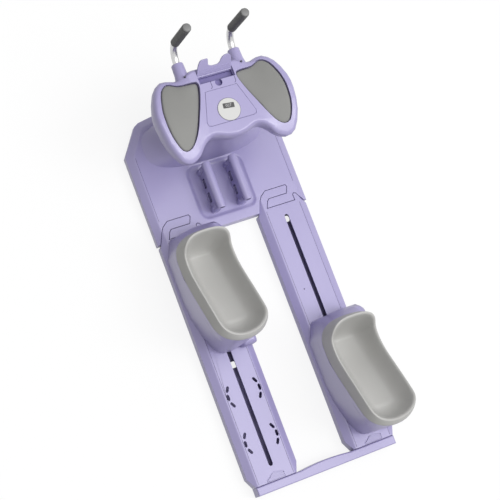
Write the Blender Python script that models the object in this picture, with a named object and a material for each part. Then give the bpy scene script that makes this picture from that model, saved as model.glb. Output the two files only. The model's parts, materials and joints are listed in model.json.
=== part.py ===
"""A kneeling crawl trainer that stretches the spine: a base with a butterfly-shaped elbow console, and two
rails on which two knee carriages slide. Metres, +X to the user's right, +Y forward, +Z up, floor at Z = 0."""

import math

import bmesh
import bpy
from mathutils import Matrix, Vector

# Clearances
FIT = 0.0003
GUIDE_GAP = 0.0015

# Rails: one part, used on both sides
RAIL_PITCH = 0.300
RAIL_HALF_WIDTH = 0.075
PLATEAU_HALF_WIDTH = 0.056
PLATEAU_Z = 0.045
SHOULDER_DROP = 0.0135
SHELL_WALL = 0.0035
SLOT_WIDTH = 0.012
SLOT_REAR_Y = 0.040
SLOT_FRONT_Y = 0.680
STOP_HOLE = (-0.0297, 0.4622)
STOP_HOLE_RADIUS = 0.0018
RAIL_CHAMFER_X = 0.014
RAIL_CHAMFER_Y = 0.028
HOOK_FRONT_Y = 0.760
HOOK_NECK_Y = 0.736
HOOK_ROOT_Y = 0.710
HOOK_DEPTH = 0.015
JOINT_GAP = 0.0006
ARC_RADIUS = 0.0467
ARC_STEP_DEG = 28.0
ARC_CENTRES_Y = (0.118, 0.250)
DASH_LENGTH = 0.018
DASH_WIDTH = 0.0075
DRAIN_Y = (0.332, 0.672)
DRAIN_LENGTH = 0.018
DRAIN_HALF_WIDTH = 0.021

# Floor, feet and bottom covers
FOOT_HEIGHT = 0.003
FOOT_RADIUS = 0.013
COVER_THICKNESS = 0.003
COVER_INSET = 0.0015

# Rear crossbar and the latches that hold it
CROSSBAR_DEPTH = 0.0245
CROSSBAR_HALF_LENGTH = 0.2115
CROSSBAR_SWELL = 0.0050
CROSSBAR_EDGE = 0.0025
LATCH_HALF_WIDTH = 0.026
LATCH_LENGTH = 0.017
LATCH_REAR_Y = 0.0035
LATCH_TRAVEL = 0.003
LATCH_DEPTH = 0.0022
LATCH_RIDGES = 4

# Base housing
BASE_HALF_WIDTH = 0.2295
BASE_REAR_Y = 0.7035
BASE_CORNER_Y = 0.967
BASE_CORNER_X = 0.174
BASE_CORNER_TOP_Y = 1.045
BASE_FRONT_Y = 1.066
BASE_FRONT_X = 0.110
SHOULDER_WIDTH = RAIL_HALF_WIDTH - PLATEAU_HALF_WIDTH
PEDESTAL_REAR_Y = 0.892
PEDESTAL_FRONT_Y = 1.040
PEDESTAL_FLARE = 0.098
PEDESTAL_HALF_WIDTH = 0.088

# Well with its two grip bars
WELL_HALF_WIDTH = 0.087
WELL_REAR_Y = 0.7295
WELL_FRONT_Y = 0.890
WELL_CORNER = 0.026
WELL_SLOPE = 0.0125
WELL_FLOOR_Z = 0.0365
GRIP_BAR_X = 0.040
BRACKET_THICKNESS = 0.014
BRACKET_REAR_Y = 0.744
BRACKET_FRONT_Y = 0.872
BRACKET_BOSS = 0.016
WINDOW_LENGTH = 0.028
WINDOW_HEIGHT = 0.022
WINDOW_Z = 0.052
WINDOW_RIB = 0.013
BAR_Z = 0.100
BAR_RADIUS = 0.0122
BAR_BORE = 0.0080
BAR_OVERHANG = 0.003

# Console
CONSOLE_BOTTOM_Z = 0.262
CONSOLE_TOP_Z = 0.316
CONSOLE_WALL = 0.0035
CONSOLE_EDGE = 0.0115
WING_START_X = 0.078
WING_SPAN = 0.100
WING_RISE = 0.0055
WING_SAG = 1.6
WING_MIDDLE_Y = 0.965
PAD_POCKET_Z = 0.2960
PAD_TOP_Z = 0.3090
PAD_RISE = 0.0120
PAD_CROWN = 0.0020
PAD_GAP = 0.0015
PANEL_FRONT_Y = 1.0075
PANEL_REAR_Y = 0.914
PANEL_FRONT_HALF = 0.0457
PANEL_REAR_HALF = 0.071
PANEL_THICKNESS = 0.003
TROUGH_HALF_WIDTH = 0.0490
TROUGH_REAR_Y = 1.034
TROUGH_FRONT_Y = 1.050
TROUGH_FLOOR_Z = 0.2975
FINGER_RADIUS = 0.010
FINGER_Y = 1.024

# Counter
COUNTER_Y = 0.946
COUNTER_RADIUS = 0.0310
COUNTER_GAP = 0.0008
COUNTER_PROUD = 0.0015
COUNTER_BODY_RADIUS = 0.0260
COUNTER_BODY_DEPTH = 0.012
WINDOW_SIZE = (0.0310, 0.0135)
WINDOW_OFFSET = (0.002, 0.010)
WINDOW_TURN_DEG = -6.5
WINDOW_DEPTH = 0.0015

# Device stand, in its bay at the console's front
STAND_Y = 1.054
STAND_Z = 0.3085
STAND_HALF_WIDTH = 0.0502
STAND_TOP_HALF_WIDTH = 0.0475
STAND_LENGTH = 0.049
STAND_THICKNESS = 0.0045
STAND_OPEN_DEG = 50.0
STAND_NOTCH_HALF = 0.0232
STAND_NOTCH_DEPTH = 0.014
STAND_RIDGES = 4
BAY_GAP = 0.0006
BAY_FLOOR_Z = 0.3050
BAY_REAR_Y = 1.031
PIN_RADIUS = 0.0014
PIN_SEAT = 0.006

# Handles
HANDLE_X = 0.082
SOCKET_MOUTH_Y = 1.108
SOCKET_RADIUS = 0.0165
SOCKET_ROOT_RADIUS = 0.0215
SOCKET_ROOT_Y = 1.0495
TUBE_RADIUS = 0.0095
TUBE_SEAT_Y = 1.053
TUBE_Z = 0.2880
TUBE_BEND = 0.044
TUBE_BEND_DEG = 94.0
GRIP_LENGTH = 0.120
GRIP_RADIUS = 0.0125
GRIP_RIBS = 13
GRIP_RIB_DEPTH = 0.0010
CAP_HEIGHT = 0.006
SCREW_Y = 1.063
SCREW_RADIUS = 0.0026

# Knee carriages and cups, measured rearwards from the cup's front
CARRIAGE_LENGTH = 0.330
CARRIAGE_LEFT = 0.0705
CARRIAGE_RIGHT = 0.0765
CARRIAGE_FRONT_GAP = 0.0135
CARRIAGE_REAR_GAP = 0.021
CARRIAGE_REST_FRONT_Y = {"left": BASE_REAR_Y - CARRIAGE_FRONT_GAP, "right": CARRIAGE_LENGTH + CARRIAGE_REAR_GAP}
NOSE = ((0, -0.0705, 0.062), (2, -0.0705, 0.036), (5, -0.0525, -0.009), (6, -0.0450, -0.0165),
        (8, 0.0, -0.0195), (13, 0.067, -0.0195), (14, 0.0765, -0.0105), (16, 0.0765, 0.062))
NOSE_SKIRT_U = 0.002
CUP_HALF_WIDTH = 0.0785
CUP_FRONT_U = 0.004
CUP_REAR_SETBACK = 0.006
CUP_REAR_U = CARRIAGE_LENGTH - CUP_REAR_SETBACK
CUP_FRONT_ROUND = 0.058
CUP_REAR_ROUND = 0.066
CUP_RIM = ((0.0, 0.236), (0.020, 0.230), (0.045, 0.207), (0.065, 0.184), (0.080, 0.174), (0.105, 0.184),
           (0.160, 0.214), (0.235, 0.257), (0.265, 0.271), (0.290, 0.275), (0.330, 0.266))
CUP_LIP = ((0.0, 0.177), (0.014, 0.165), (0.050, 0.150), (0.083, 0.138), (0.105, 0.144), (0.190, 0.189),
           (0.255, 0.230), (0.285, 0.241), (0.330, 0.246))
CUP_FLOOR = ((0.0, 0.112), (0.050, 0.110), (0.085, 0.110), (0.105, 0.120), (0.250, 0.203), (0.285, 0.210),
             (0.330, 0.206))
CUP_BASE = ((0.0, 0.101), (0.050, 0.099), (0.083, 0.098), (0.105, 0.109), (0.250, 0.189), (0.285, 0.192),
            (0.330, 0.172))
CUP_RIM_INSET = 0.0105
CUP_RIM_WIDTH = 0.0180
POCKET_WALL = 0.0033
POCKET_GAP = 0.0008
CUP_END_STEPS = 8
CUP_SIDE_STEPS = 4

# Trolleys inside the rails
TROLLEY_HALF_WIDTH = 0.022
TROLLEY_CHEEK = 0.004
TROLLEY_PLATE = 0.0035
TROLLEY_FRONT_U = 0.022
TROLLEY_REAR_SETBACK = 0.030
TROLLEY_REAR_U = CARRIAGE_LENGTH - TROLLEY_REAR_SETBACK
STEM_SPANS_U = ((0.032, 0.092), (TROLLEY_REAR_U - 0.070, TROLLEY_REAR_U - 0.010))
WHEEL_RADIUS = 0.0135
WHEEL_WIDTH = 0.010
AXLE_RADIUS = 0.003
AXLE_U = (0.055, TROLLEY_REAR_U - 0.033)

# Everything lengthwise is measured from the seam between rails and crossbar, then centred on the origin
FRONT_REACH = SOCKET_MOUTH_Y + TUBE_BEND + GRIP_RADIUS
SEAM_Y = (CROSSBAR_DEPTH - FRONT_REACH) / 2
COVER_TOP_Z = FOOT_HEIGHT + COVER_THICKNESS
SHELL_BOTTOM_Z = COVER_TOP_Z + FIT
SHOULDER_Z = PLATEAU_Z - SHOULDER_DROP


def material(name, colour, roughness, metallic=0.0):
    made = bpy.data.materials.new(name)
    made.use_nodes = True
    shader = made.node_tree.nodes["Principled BSDF"]
    shader.inputs["Base Color"].default_value = (*colour, 1.0)
    shader.inputs["Roughness"].default_value = roughness
    shader.inputs["Metallic"].default_value = metallic
    return made


def object_from(name, mesh_builder):
    """Links a new object whose mesh is the closed shape in mesh_builder, with its faces turned outwards."""
    bmesh.ops.remove_doubles(mesh_builder, verts=mesh_builder.verts, dist=1e-6)
    bmesh.ops.recalc_face_normals(mesh_builder, faces=mesh_builder.faces)
    mesh = bpy.data.meshes.new(name)
    mesh_builder.to_mesh(mesh)
    mesh_builder.free()
    made = bpy.data.objects.new(name, mesh)
    bpy.context.scene.collection.objects.link(made)
    return made


def cut(piece, cutter, operation="DIFFERENCE"):
    cutter.hide_render = True
    cutter.display_type = "WIRE"
    modifier = piece.modifiers.new(cutter.name, "BOOLEAN")
    modifier.operation = operation
    modifier.object = cutter
    modifier.solver = "EXACT"


def settle(piece):
    """Applies the modifiers and removes the cutters that they used."""
    cutters = {modifier.object for modifier in piece.modifiers if modifier.type == "BOOLEAN"}
    graph = bpy.context.evaluated_depsgraph_get()
    mesh = bpy.data.meshes.new_from_object(piece.evaluated_get(graph))
    piece.modifiers.clear()
    piece.data = mesh
    for cutter in cutters:
        bpy.data.objects.remove(cutter)
    return piece


def finish(piece, finish_material, smooth_deg=35.0):
    piece.data.materials.clear()
    piece.data.materials.append(finish_material)
    piece.data.shade_smooth()
    piece.data.set_sharp_from_angle(angle=math.radians(smooth_deg))
    return piece


def place(source, name, location):
    """A separate object that shares the source's mesh."""
    copy = bpy.data.objects.new(name, source.data)
    copy.location = location
    bpy.context.scene.collection.objects.link(copy)
    return copy


def place_on_rails(source, base_name, y=0.0):
    """The same part on the left and the right rail."""
    for side, sign in (("left", -1), ("right", 1)):
        place(source, f"{base_name}_{side}", (sign * RAIL_PITCH / 2, SEAM_Y + y, 0))
    bpy.data.objects.remove(source)


def loft(rings):
    """Joins rings of as many points each with quads, and closes both ends."""
    shape = bmesh.new()
    loops = [[shape.verts.new(point) for point in ring] for ring in rings]
    count = len(loops[0])
    for low, high in zip(loops, loops[1:]):
        for i in range(count):
            j = (i + 1) % count
            shape.faces.new((low[i], low[j], high[j], high[i]))
    shape.faces.new(loops[0])
    shape.faces.new(loops[-1])
    return shape


def prism(outline, low, high, axis="Z"):
    """An outline extruded along Z from (x, y), along Y from (x, z) or along X from (y, z)."""
    order = {"Z": lambda p, h: (p[0], p[1], h), "Y": lambda p, h: (p[0], h, p[1]), "X": lambda p, h: (h, p[0], p[1])}
    return loft([[order[axis](point, height) for point in outline] for height in (low, high)])


def box(low, high):
    outline = ((low[0], low[1]), (high[0], low[1]), (high[0], high[1]), (low[0], high[1]))
    return prism(outline, low[2], high[2])


def turned(profile, sides, start=(0, 0, 0), axis="Z"):
    """Revolves (radius, height) pairs; the first and the last lie on the axis or close with a flat cap."""
    rings = []
    for radius, height in profile:
        ring = []
        for i in range(sides):
            angle = 2 * math.pi * i / sides
            ring.append(Vector((radius * math.cos(angle), radius * math.sin(angle), height)))
        rings.append(ring)
    shape = loft(rings)
    turn = {"Z": Matrix(), "Y": Matrix.Rotation(-math.pi / 2, 4, "X"), "X": Matrix.Rotation(math.pi / 2, 4, "Y")}
    bmesh.ops.transform(shape, matrix=Matrix.Translation(start) @ turn[axis], verts=shape.verts)
    return shape


def merged(*shapes):
    """Puts separate closed shapes that don't touch into one, for use as a cutter."""
    whole = shapes[0]
    for shape in shapes[1:]:
        mesh = bpy.data.meshes.new("merge")
        shape.to_mesh(mesh)
        shape.free()
        whole.from_mesh(mesh)
        bpy.data.meshes.remove(mesh)
    return whole


def smooth_closed(points, steps):
    """A closed curve through the points, steps segments to each span."""
    curve = []
    count = len(points)
    for i in range(count):
        before, start, end, after = (Vector(points[(i + k) % count]) for k in (-1, 0, 1, 2))
        for k in range(steps):
            t = k / steps
            curve.append(0.5 * (2 * start + (end - before) * t + (2 * before - 5 * start + 4 * end - after) * t**2
                                + (3 * start - before - 3 * end + after) * t**3))
    return curve


def inset_closed(points, distance):
    """Moves a closed anticlockwise outline inwards by the distance."""
    moved = []
    count = len(points)
    for i in range(count):
        before, here, after = (Vector(points[(i + k) % count][:2]) for k in (-1, 0, 1))
        first = (here - before).normalized()
        second = (after - here).normalized()
        inward = Vector((-first.y - second.y, first.x + second.x))
        inward.normalize()
        spread = max(0.35, inward.dot(Vector((-first.y, first.x))))
        moved.append(here + inward * distance / spread)
    return moved


def level(outline, z):
    return [(point[0], point[1], z) for point in outline]


def arc(centre, radius, start_deg, end_deg, steps):
    points = []
    for i in range(steps + 1):
        angle = math.radians(start_deg + (end_deg - start_deg) * i / steps)
        points.append((centre[0] + radius * math.cos(angle), centre[1] + radius * math.sin(angle)))
    return points


def rounded_box_outline(half_x, low_y, high_y, corner, steps=4):
    points = []
    points += arc((half_x - corner, high_y - corner), corner, 0, 90, steps)
    points += arc((corner - half_x, high_y - corner), corner, 90, 180, steps)
    points += arc((corner - half_x, low_y + corner), corner, 180, 270, steps)
    points += arc((half_x - corner, low_y + corner), corner, 270, 360, steps)
    return points


def slot_outline(centre, length, width, turn_deg=0.0, steps=3):
    """A slot with round ends; length runs along Y before the turn."""
    straight = (length - width) / 2
    points = arc((0, straight), width / 2, 0, 180, steps) + arc((0, -straight), width / 2, 180, 360, steps)
    turn = Matrix.Rotation(math.radians(turn_deg), 2)
    return [turn @ Vector(point) + Vector(centre) for point in points]


def between(stations, at):
    """The value at a position on the smooth curve through (position, value) stations."""

    def slope(k):
        low, high = stations[max(0, k - 1)], stations[min(len(stations) - 1, k + 1)]
        return (high[1] - low[1]) / (high[0] - low[0])

    at = max(stations[0][0], min(stations[-1][0], at))
    k = 0
    while at > stations[k + 1][0]:
        k += 1
    (start, first), (end, second) = stations[k], stations[k + 1]
    t = (at - start) / (end - start)
    reach = end - start
    return (first * (2 * t**3 - 3 * t**2 + 1) + second * (3 * t**2 - 2 * t**3)
            + reach * (slope(k) * (t**3 - 2 * t**2 + t) + slope(k + 1) * (t**3 - t**2)))


def rail_section(grow):
    """Outer profile of a rail across its length, moved outwards by grow."""
    half = RAIL_HALF_WIDTH + grow
    flat = PLATEAU_HALF_WIDTH + grow / 2
    bottom = SHELL_BOTTOM_Z
    return ((-half, bottom), (half, bottom), (half, SHOULDER_Z + grow / 2), (flat, PLATEAU_Z + grow),
            (-flat, PLATEAU_Z + grow), (-half, SHOULDER_Z + grow / 2))


def rail_plan(grow):
    """Plan outline of a rail with its chamfered rear corner and the hook that locks into the base."""
    half = RAIL_HALF_WIDTH + grow
    points = [
        (RAIL_CHAMFER_X - half, FIT / 2), (half - RAIL_CHAMFER_X, FIT / 2), (half, RAIL_CHAMFER_Y),
        (half, 0.6950 + grow), (0.0600, 0.7130), (0.0500, 0.7285), (0.0450, 0.7305), (0.0405, 0.7270),
        (0.0414, HOOK_ROOT_Y), (-0.0466, HOOK_ROOT_Y), (-0.0386, HOOK_NECK_Y - 0.007), (-0.0316, HOOK_NECK_Y),
        (0.0244, HOOK_NECK_Y), (0.0322, HOOK_FRONT_Y - 0.006), (0.0294, HOOK_FRONT_Y),
        (-0.0346, HOOK_FRONT_Y), (-0.0506, HOOK_FRONT_Y - 0.012), (-0.0586, HOOK_NECK_Y),
        (-half, 0.6950 + grow), (-half, RAIL_CHAMFER_Y),
    ]
    return inset_closed(points, -grow) if grow else points


def dash_outlines():
    outlines = []
    for centre_y in ARC_CENTRES_Y:
        for sign in (-1, 1):
            for step in (-1, 0, 1):
                angle = step * ARC_STEP_DEG
                x = sign * ARC_RADIUS * math.cos(math.radians(angle))
                y = centre_y + ARC_RADIUS * math.sin(math.radians(angle))
                outlines.append(slot_outline((x, y), DASH_LENGTH, DASH_WIDTH, sign * angle))
    return outlines


def latch_outline(grow=0.0):
    """A fan with a straight rear edge, low at the left and full at the right."""
    half = LATCH_HALF_WIDTH
    rear = LATCH_REAR_Y
    points = [(-half, rear), (half, rear), (half, rear + 0.55 * LATCH_LENGTH),
              (0.40 * half, rear + 0.85 * LATCH_LENGTH),
              (-0.05 * half, rear + LATCH_LENGTH), (-0.28 * half, rear + 0.93 * LATCH_LENGTH),
              (-0.62 * half, rear + 0.45 * LATCH_LENGTH), (-half, rear + 0.1 * LATCH_LENGTH)]
    return inset_closed(points, -grow) if grow else points


def build_rails(plastic):
    rail = object_from("rail", prism(rail_section(0), 0, HOOK_FRONT_Y + 0.01, "Y"))
    cut(rail, object_from("rail_plan", prism(rail_plan(0), -0.01, 0.1)), "INTERSECT")
    inner = [(-RAIL_HALF_WIDTH + SHELL_WALL, -0.01), (RAIL_HALF_WIDTH - SHELL_WALL, -0.01),
             (RAIL_HALF_WIDTH - SHELL_WALL, SHOULDER_Z - SHELL_WALL / 2),
             (PLATEAU_HALF_WIDTH - SHELL_WALL / 2, PLATEAU_Z - SHELL_WALL),
             (SHELL_WALL / 2 - PLATEAU_HALF_WIDTH, PLATEAU_Z - SHELL_WALL),
             (SHELL_WALL - RAIL_HALF_WIDTH, SHOULDER_Z - SHELL_WALL / 2)]
    cut(rail, object_from("rail_inside", prism(inner, RAIL_CHAMFER_Y, BASE_REAR_Y - 0.008, "Y")))
    under_hook = ((-0.1, -0.01), (0.1, -0.01), (0.1, PLATEAU_Z - HOOK_DEPTH), (-0.1, PLATEAU_Z - HOOK_DEPTH))
    cut(rail, object_from("rail_under_hook", prism(under_hook, BASE_REAR_Y - 0.004, 0.8, "Y")))
    slot_middle = (SLOT_REAR_Y + SLOT_FRONT_Y) / 2
    holes = [slot_outline((0, slot_middle), SLOT_FRONT_Y - SLOT_REAR_Y, SLOT_WIDTH)] + dash_outlines()
    holes.append(arc(STOP_HOLE, STOP_HOLE_RADIUS, 0, 324, 9))
    low = PLATEAU_Z - 2 * SHELL_WALL
    cut(rail, object_from("rail_holes", merged(*[prism(hole, low, 0.1) for hole in holes])))
    latch_room = [(x, y + (LATCH_TRAVEL if y > LATCH_REAR_Y + 0.001 else 0)) for x, y in latch_outline(0.0006)]
    cut(rail, object_from("latch_room", prism(latch_room, PLATEAU_Z - LATCH_DEPTH - FIT, 0.1)))
    place_on_rails(finish(settle(rail), plastic), "rail")


def build_rail_covers(plastic):
    half = RAIL_HALF_WIDTH - COVER_INSET
    rear = COVER_INSET
    front = BASE_REAR_Y - 0.006
    outline = ((RAIL_CHAMFER_X - half, rear), (half - RAIL_CHAMFER_X, rear), (half, RAIL_CHAMFER_Y), (half, front),
               (-half, front), (-half, RAIL_CHAMFER_Y))
    cover = object_from("rail_cover", prism(outline, FOOT_HEIGHT, COVER_TOP_Z))
    drains = []
    for y in DRAIN_Y:
        corner = DRAIN_LENGTH / 3
        drain = rounded_box_outline(DRAIN_HALF_WIDTH, y - DRAIN_LENGTH / 2, y + DRAIN_LENGTH / 2, corner, 2)
        drains.append(prism(drain, 0, 0.1))
    cut(cover, object_from("drains", merged(*drains)))
    place_on_rails(finish(settle(cover), plastic), "rail_bottom_cover")


def build_latches(plastic):
    """A ridged thumb plate with a small hook at its right end."""
    floor = PLATEAU_Z - LATCH_DEPTH
    latch = object_from("latch", prism(latch_outline(), floor, PLATEAU_Z + 0.0004))
    grooves = []
    for i in range(LATCH_RIDGES):
        y = LATCH_REAR_Y + 0.0028 + i * 0.0034
        grooves.append(box((-0.1, y, PLATEAU_Z - 0.0006), (0.1, y + 0.0012, 0.1)))
    cut(latch, object_from("latch_grooves", merged(*grooves)))
    hook_x = LATCH_HALF_WIDTH - 0.0028
    hook_y = LATCH_REAR_Y + 0.0035
    hook = turned(((0.0016, floor + 0.0005), (0.0016, PLATEAU_Z + 0.0012)), 10, (hook_x, hook_y, 0))
    cut(latch, object_from("latch_hook", hook), "UNION")
    place_on_rails(finish(settle(latch), plastic), "latch")


def build_crossbar(plastic):
    half = CROSSBAR_HALF_LENGTH
    inner = RAIL_PITCH / 2 - RAIL_HALF_WIDTH - 2 * FIT

    def outline(inset):
        """The front edge swells in an arch between the rails."""
        front = -FIT - inset
        arch = []
        for i in range(9):
            share = 1 - i / 4
            arch.append((inner * share, front + CROSSBAR_SWELL * (1 - share**2)))
        return [(inset - half, inset - CROSSBAR_DEPTH), (half - inset, inset - CROSSBAR_DEPTH),
                (half - inset, front)] + arch + [(inset - half, front)]

    top = PLATEAU_Z - 0.0005
    rings = [level(outline(inset), z) for inset, z in (
        (0.001, FOOT_HEIGHT), (0.0, FOOT_HEIGHT + 0.003), (0.0, top - CROSSBAR_EDGE), (CROSSBAR_EDGE, top))]
    bar = loft(rings)
    bmesh.ops.translate(bar, verts=bar.verts, vec=(0, SEAM_Y, 0))
    finish(object_from("rear_crossbar", bar), plastic)


def base_outline(inset):
    """Plan of the base housing, anticlockwise from the rear left; the rear edge stays where it is."""
    rear = BASE_REAR_Y
    right = [(BASE_HALF_WIDTH - inset, rear), (BASE_HALF_WIDTH - inset, BASE_CORNER_Y - inset * 0.4),
             (BASE_CORNER_X - inset * 0.55, BASE_CORNER_TOP_Y - inset * 0.8),
             (BASE_CORNER_X - 0.014 - inset * 0.4, BASE_CORNER_TOP_Y + 0.008 - inset * 0.95),
             (BASE_FRONT_X - inset * 0.1, BASE_FRONT_Y - 0.004 - inset)]
    left = [(-x, y) for x, y in reversed(right)]
    return right + [(0, BASE_FRONT_Y - inset)] + left


def pedestal_ring(half_x, rear, front, z, count=32):
    """A ring between an ellipse and a rectangle."""
    ring = []
    for i in range(count):
        angle = 2 * math.pi * i / count
        c, s = math.cos(angle), math.sin(angle)
        x = half_x * math.copysign(abs(c) ** 0.7, c)
        y = (rear + front) / 2 + (front - rear) / 2 * math.copysign(abs(s) ** 0.7, s)
        ring.append((x, y, z))
    return ring


def build_base(plastic):
    rings = [level(base_outline(inset), z) for inset, z in (
        (0.002, SHELL_BOTTOM_Z), (0.0, SHELL_BOTTOM_Z + 0.004), (0.0, SHOULDER_Z), (SHOULDER_WIDTH, PLATEAU_Z))]
    base = object_from("base_housing", loft(rings))
    pedestal = []
    top = CONSOLE_BOTTOM_Z - COVER_THICKNESS - 2 * FIT
    foot = PLATEAU_Z - 0.006
    for i in range(8):
        t = i / 7
        flare = PEDESTAL_FLARE * (1 - t) ** 3.2
        z = foot + (top - 0.010 - foot) * t
        rear = PEDESTAL_REAR_Y + 0.006 * t
        front = PEDESTAL_FRONT_Y + 0.004 * (1 - t) ** 2 - 0.010 * t
        pedestal.append(pedestal_ring(PEDESTAL_HALF_WIDTH + flare, rear, front, z))
    pedestal.append(pedestal_ring(PEDESTAL_HALF_WIDTH - 0.012, PEDESTAL_REAR_Y + 0.016,
                                  PEDESTAL_FRONT_Y - 0.020, top))
    cut(base, object_from("pedestal", loft(pedestal)), "UNION")
    well = rounded_box_outline(WELL_HALF_WIDTH, WELL_REAR_Y, WELL_FRONT_Y, WELL_CORNER)
    well_floor = inset_closed(well, WELL_SLOPE)
    cut(base, object_from("well", loft([level(well_floor, WELL_FLOOR_Z), level(well, PLATEAU_Z + 0.001),
                                        level(well, PLATEAU_Z + 0.010)])))
    pockets = []
    for sign in (-1, 1):
        plan = [(x + sign * RAIL_PITCH / 2, y) for x, y in rail_plan(JOINT_GAP)]
        pockets.append(prism(plan, PLATEAU_Z - HOOK_DEPTH - FIT, 0.1))
    cut(base, object_from("hook_pockets", merged(*pockets)))
    finish(settle(base), plastic).location.y = SEAM_Y
    inset = 0.002 + COVER_INSET
    outline = [(x, max(y, BASE_REAR_Y + COVER_INSET)) for x, y in base_outline(inset)]
    cover = prism(outline, FOOT_HEIGHT, COVER_TOP_Z)
    bmesh.ops.translate(cover, verts=cover.verts, vec=(0, SEAM_Y, 0))
    finish(object_from("base_bottom_cover", cover), plastic)


def build_feet(rubber):
    base_x = BASE_HALF_WIDTH - 0.030
    front_x = BASE_FRONT_X
    places = {"foot_base_front_left": (-front_x, BASE_FRONT_Y - 0.030),
              "foot_base_front_right": (front_x, BASE_FRONT_Y - 0.030),
              "foot_base_rear_left": (-base_x, BASE_REAR_Y + 0.025),
              "foot_base_rear_right": (base_x, BASE_REAR_Y + 0.025)}
    profile = ((FOOT_RADIUS - 0.001, 0), (FOOT_RADIUS, 0.001), (FOOT_RADIUS, FOOT_HEIGHT - FIT))
    foot = object_from("foot", turned(profile, 20))
    finish(foot, rubber)
    for name, (x, y) in places.items():
        place(foot, name, (x, SEAM_Y + y, 0))
    bpy.data.objects.remove(foot)
    bar_foot = slot_outline((0, 0), 0.050, CROSSBAR_DEPTH - 0.010, 90, 6)
    shape = prism(bar_foot, 0, FOOT_HEIGHT - FIT)
    strip = finish(object_from("bar_foot", shape), rubber)
    place_on_rails(strip, "foot_crossbar", -CROSSBAR_DEPTH / 2)


def build_grip_bars(plastic):
    """An upright plate with two windows and thick ends, and the hollow tube that lies in its top."""
    middle = (BRACKET_REAR_Y + BRACKET_FRONT_Y) / 2
    top = BAR_Z
    floor = WELL_FLOOR_Z + FIT
    plate = ((BRACKET_REAR_Y + 0.002, floor), (BRACKET_FRONT_Y - 0.002, floor), (BRACKET_FRONT_Y, floor + 0.010),
             (BRACKET_FRONT_Y, top), (BRACKET_REAR_Y, top), (BRACKET_REAR_Y, floor + 0.010))
    bracket = object_from("bracket", prism(plate, -BRACKET_THICKNESS / 2, BRACKET_THICKNESS / 2, "X"))
    for number, (start, end) in enumerate(((BRACKET_REAR_Y, BRACKET_REAR_Y + BRACKET_BOSS),
                                           (BRACKET_FRONT_Y - BRACKET_BOSS, BRACKET_FRONT_Y))):
        boss = rounded_box_outline(BAR_RADIUS, start - 0.0002, end + 0.0002, 0.006, 2)
        cut(bracket, object_from(f"boss_{number}", prism(boss, floor, top - 0.010)), "UNION")
    windows = []
    for sign in (-1, 1):
        centre = middle + sign * (WINDOW_LENGTH + WINDOW_RIB) / 2
        outline = [(centre + p[0], WINDOW_Z + p[1]) for p in rounded_box_outline(
            WINDOW_LENGTH / 2, -WINDOW_HEIGHT / 2, WINDOW_HEIGHT / 2, 0.004, 2)]
        windows.append(prism(outline, -0.02, 0.02, "X"))
    cut(bracket, object_from("windows", merged(*windows)))
    seat = turned(((BAR_RADIUS + FIT, BRACKET_REAR_Y - 0.02), (BAR_RADIUS + FIT, BRACKET_FRONT_Y + 0.02)), 24,
                  (0, 0, top), "Y")
    cut(bracket, object_from("bar_seat", seat))
    finish(settle(bracket), plastic)
    start = BRACKET_REAR_Y - BAR_OVERHANG
    end = BRACKET_FRONT_Y + BAR_OVERHANG
    tube = object_from("bar", turned(((BAR_RADIUS - 0.0015, start), (BAR_RADIUS, start + 0.0015),
                                      (BAR_RADIUS, end - 0.0015), (BAR_RADIUS - 0.0015, end)), 24, (0, 0, top), "Y"))
    bore = turned(((BAR_BORE, start - 0.01), (BAR_BORE, end + 0.01)), 16, (0, 0, top), "Y")
    cut(tube, object_from("bar_bore", bore))
    finish(settle(tube), plastic)
    for side, sign in (("left", -1), ("right", 1)):
        place(bracket, f"grip_bracket_{side}", (sign * GRIP_BAR_X, SEAM_Y, 0))
        place(tube, f"grip_bar_{side}", (sign * GRIP_BAR_X, SEAM_Y, 0))
    bpy.data.objects.remove(bracket)
    bpy.data.objects.remove(tube)


def console_outline():
    """The butterfly, anticlockwise from its right tip: front edge, left wing, rear edge, right lobe."""
    front = [(0.1985, 0.955), (0.1960, 0.996), (0.1770, 1.046), (0.1490, 1.070), (0.1190, 1.066), (0.1020, 1.063),
             (0.0660, 1.077), (0.0400, 1.078)]
    rear = [(0.0300, 0.878), (0.0560, 0.8875), (0.0770, 0.885), (0.0960, 0.869), (0.1110, 0.852), (0.1380, 0.839),
            (0.1660, 0.850), (0.1900, 0.898)]
    return smooth_closed(front + mirrored(front) + mirrored(rear) + [(0, 0.873)] + rear, 2)


def pad_outline():
    """The right elbow pad, anticlockwise: broad at the front, narrow at the rear."""
    points = [(0.1760, 0.958), (0.1725, 0.996), (0.1570, 1.040), (0.1350, 1.056), (0.1070, 1.0445), (0.0710, 1.0415),
              (0.0580, 1.038), (0.0565, 1.024), (0.0655, 0.995), (0.0830, 0.953), (0.1060, 0.905), (0.1310, 0.8755),
              (0.1550, 0.876), (0.1715, 0.914)]
    return smooth_closed(points, 3)


def mirrored(outline):
    return [(-point[0], point[1]) for point in reversed(outline)]


def ramp(value, start, span):
    """Rises from 0 at start to 1 a span further on."""
    return max(0.0, min(1.0, (value - start) / span))


def wing_sag(x, y):
    """How far the wings come down towards their front and rear ends."""
    return WING_SAG * (y - WING_MIDDLE_Y) ** 2 * ramp(abs(x), PANEL_REAR_HALF, 0.040)


def wing_height(x, y):
    """How far the console's top lies above its flat middle."""
    return WING_RISE * ramp(abs(x), WING_START_X, WING_SPAN) - wing_sag(x, y)


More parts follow.
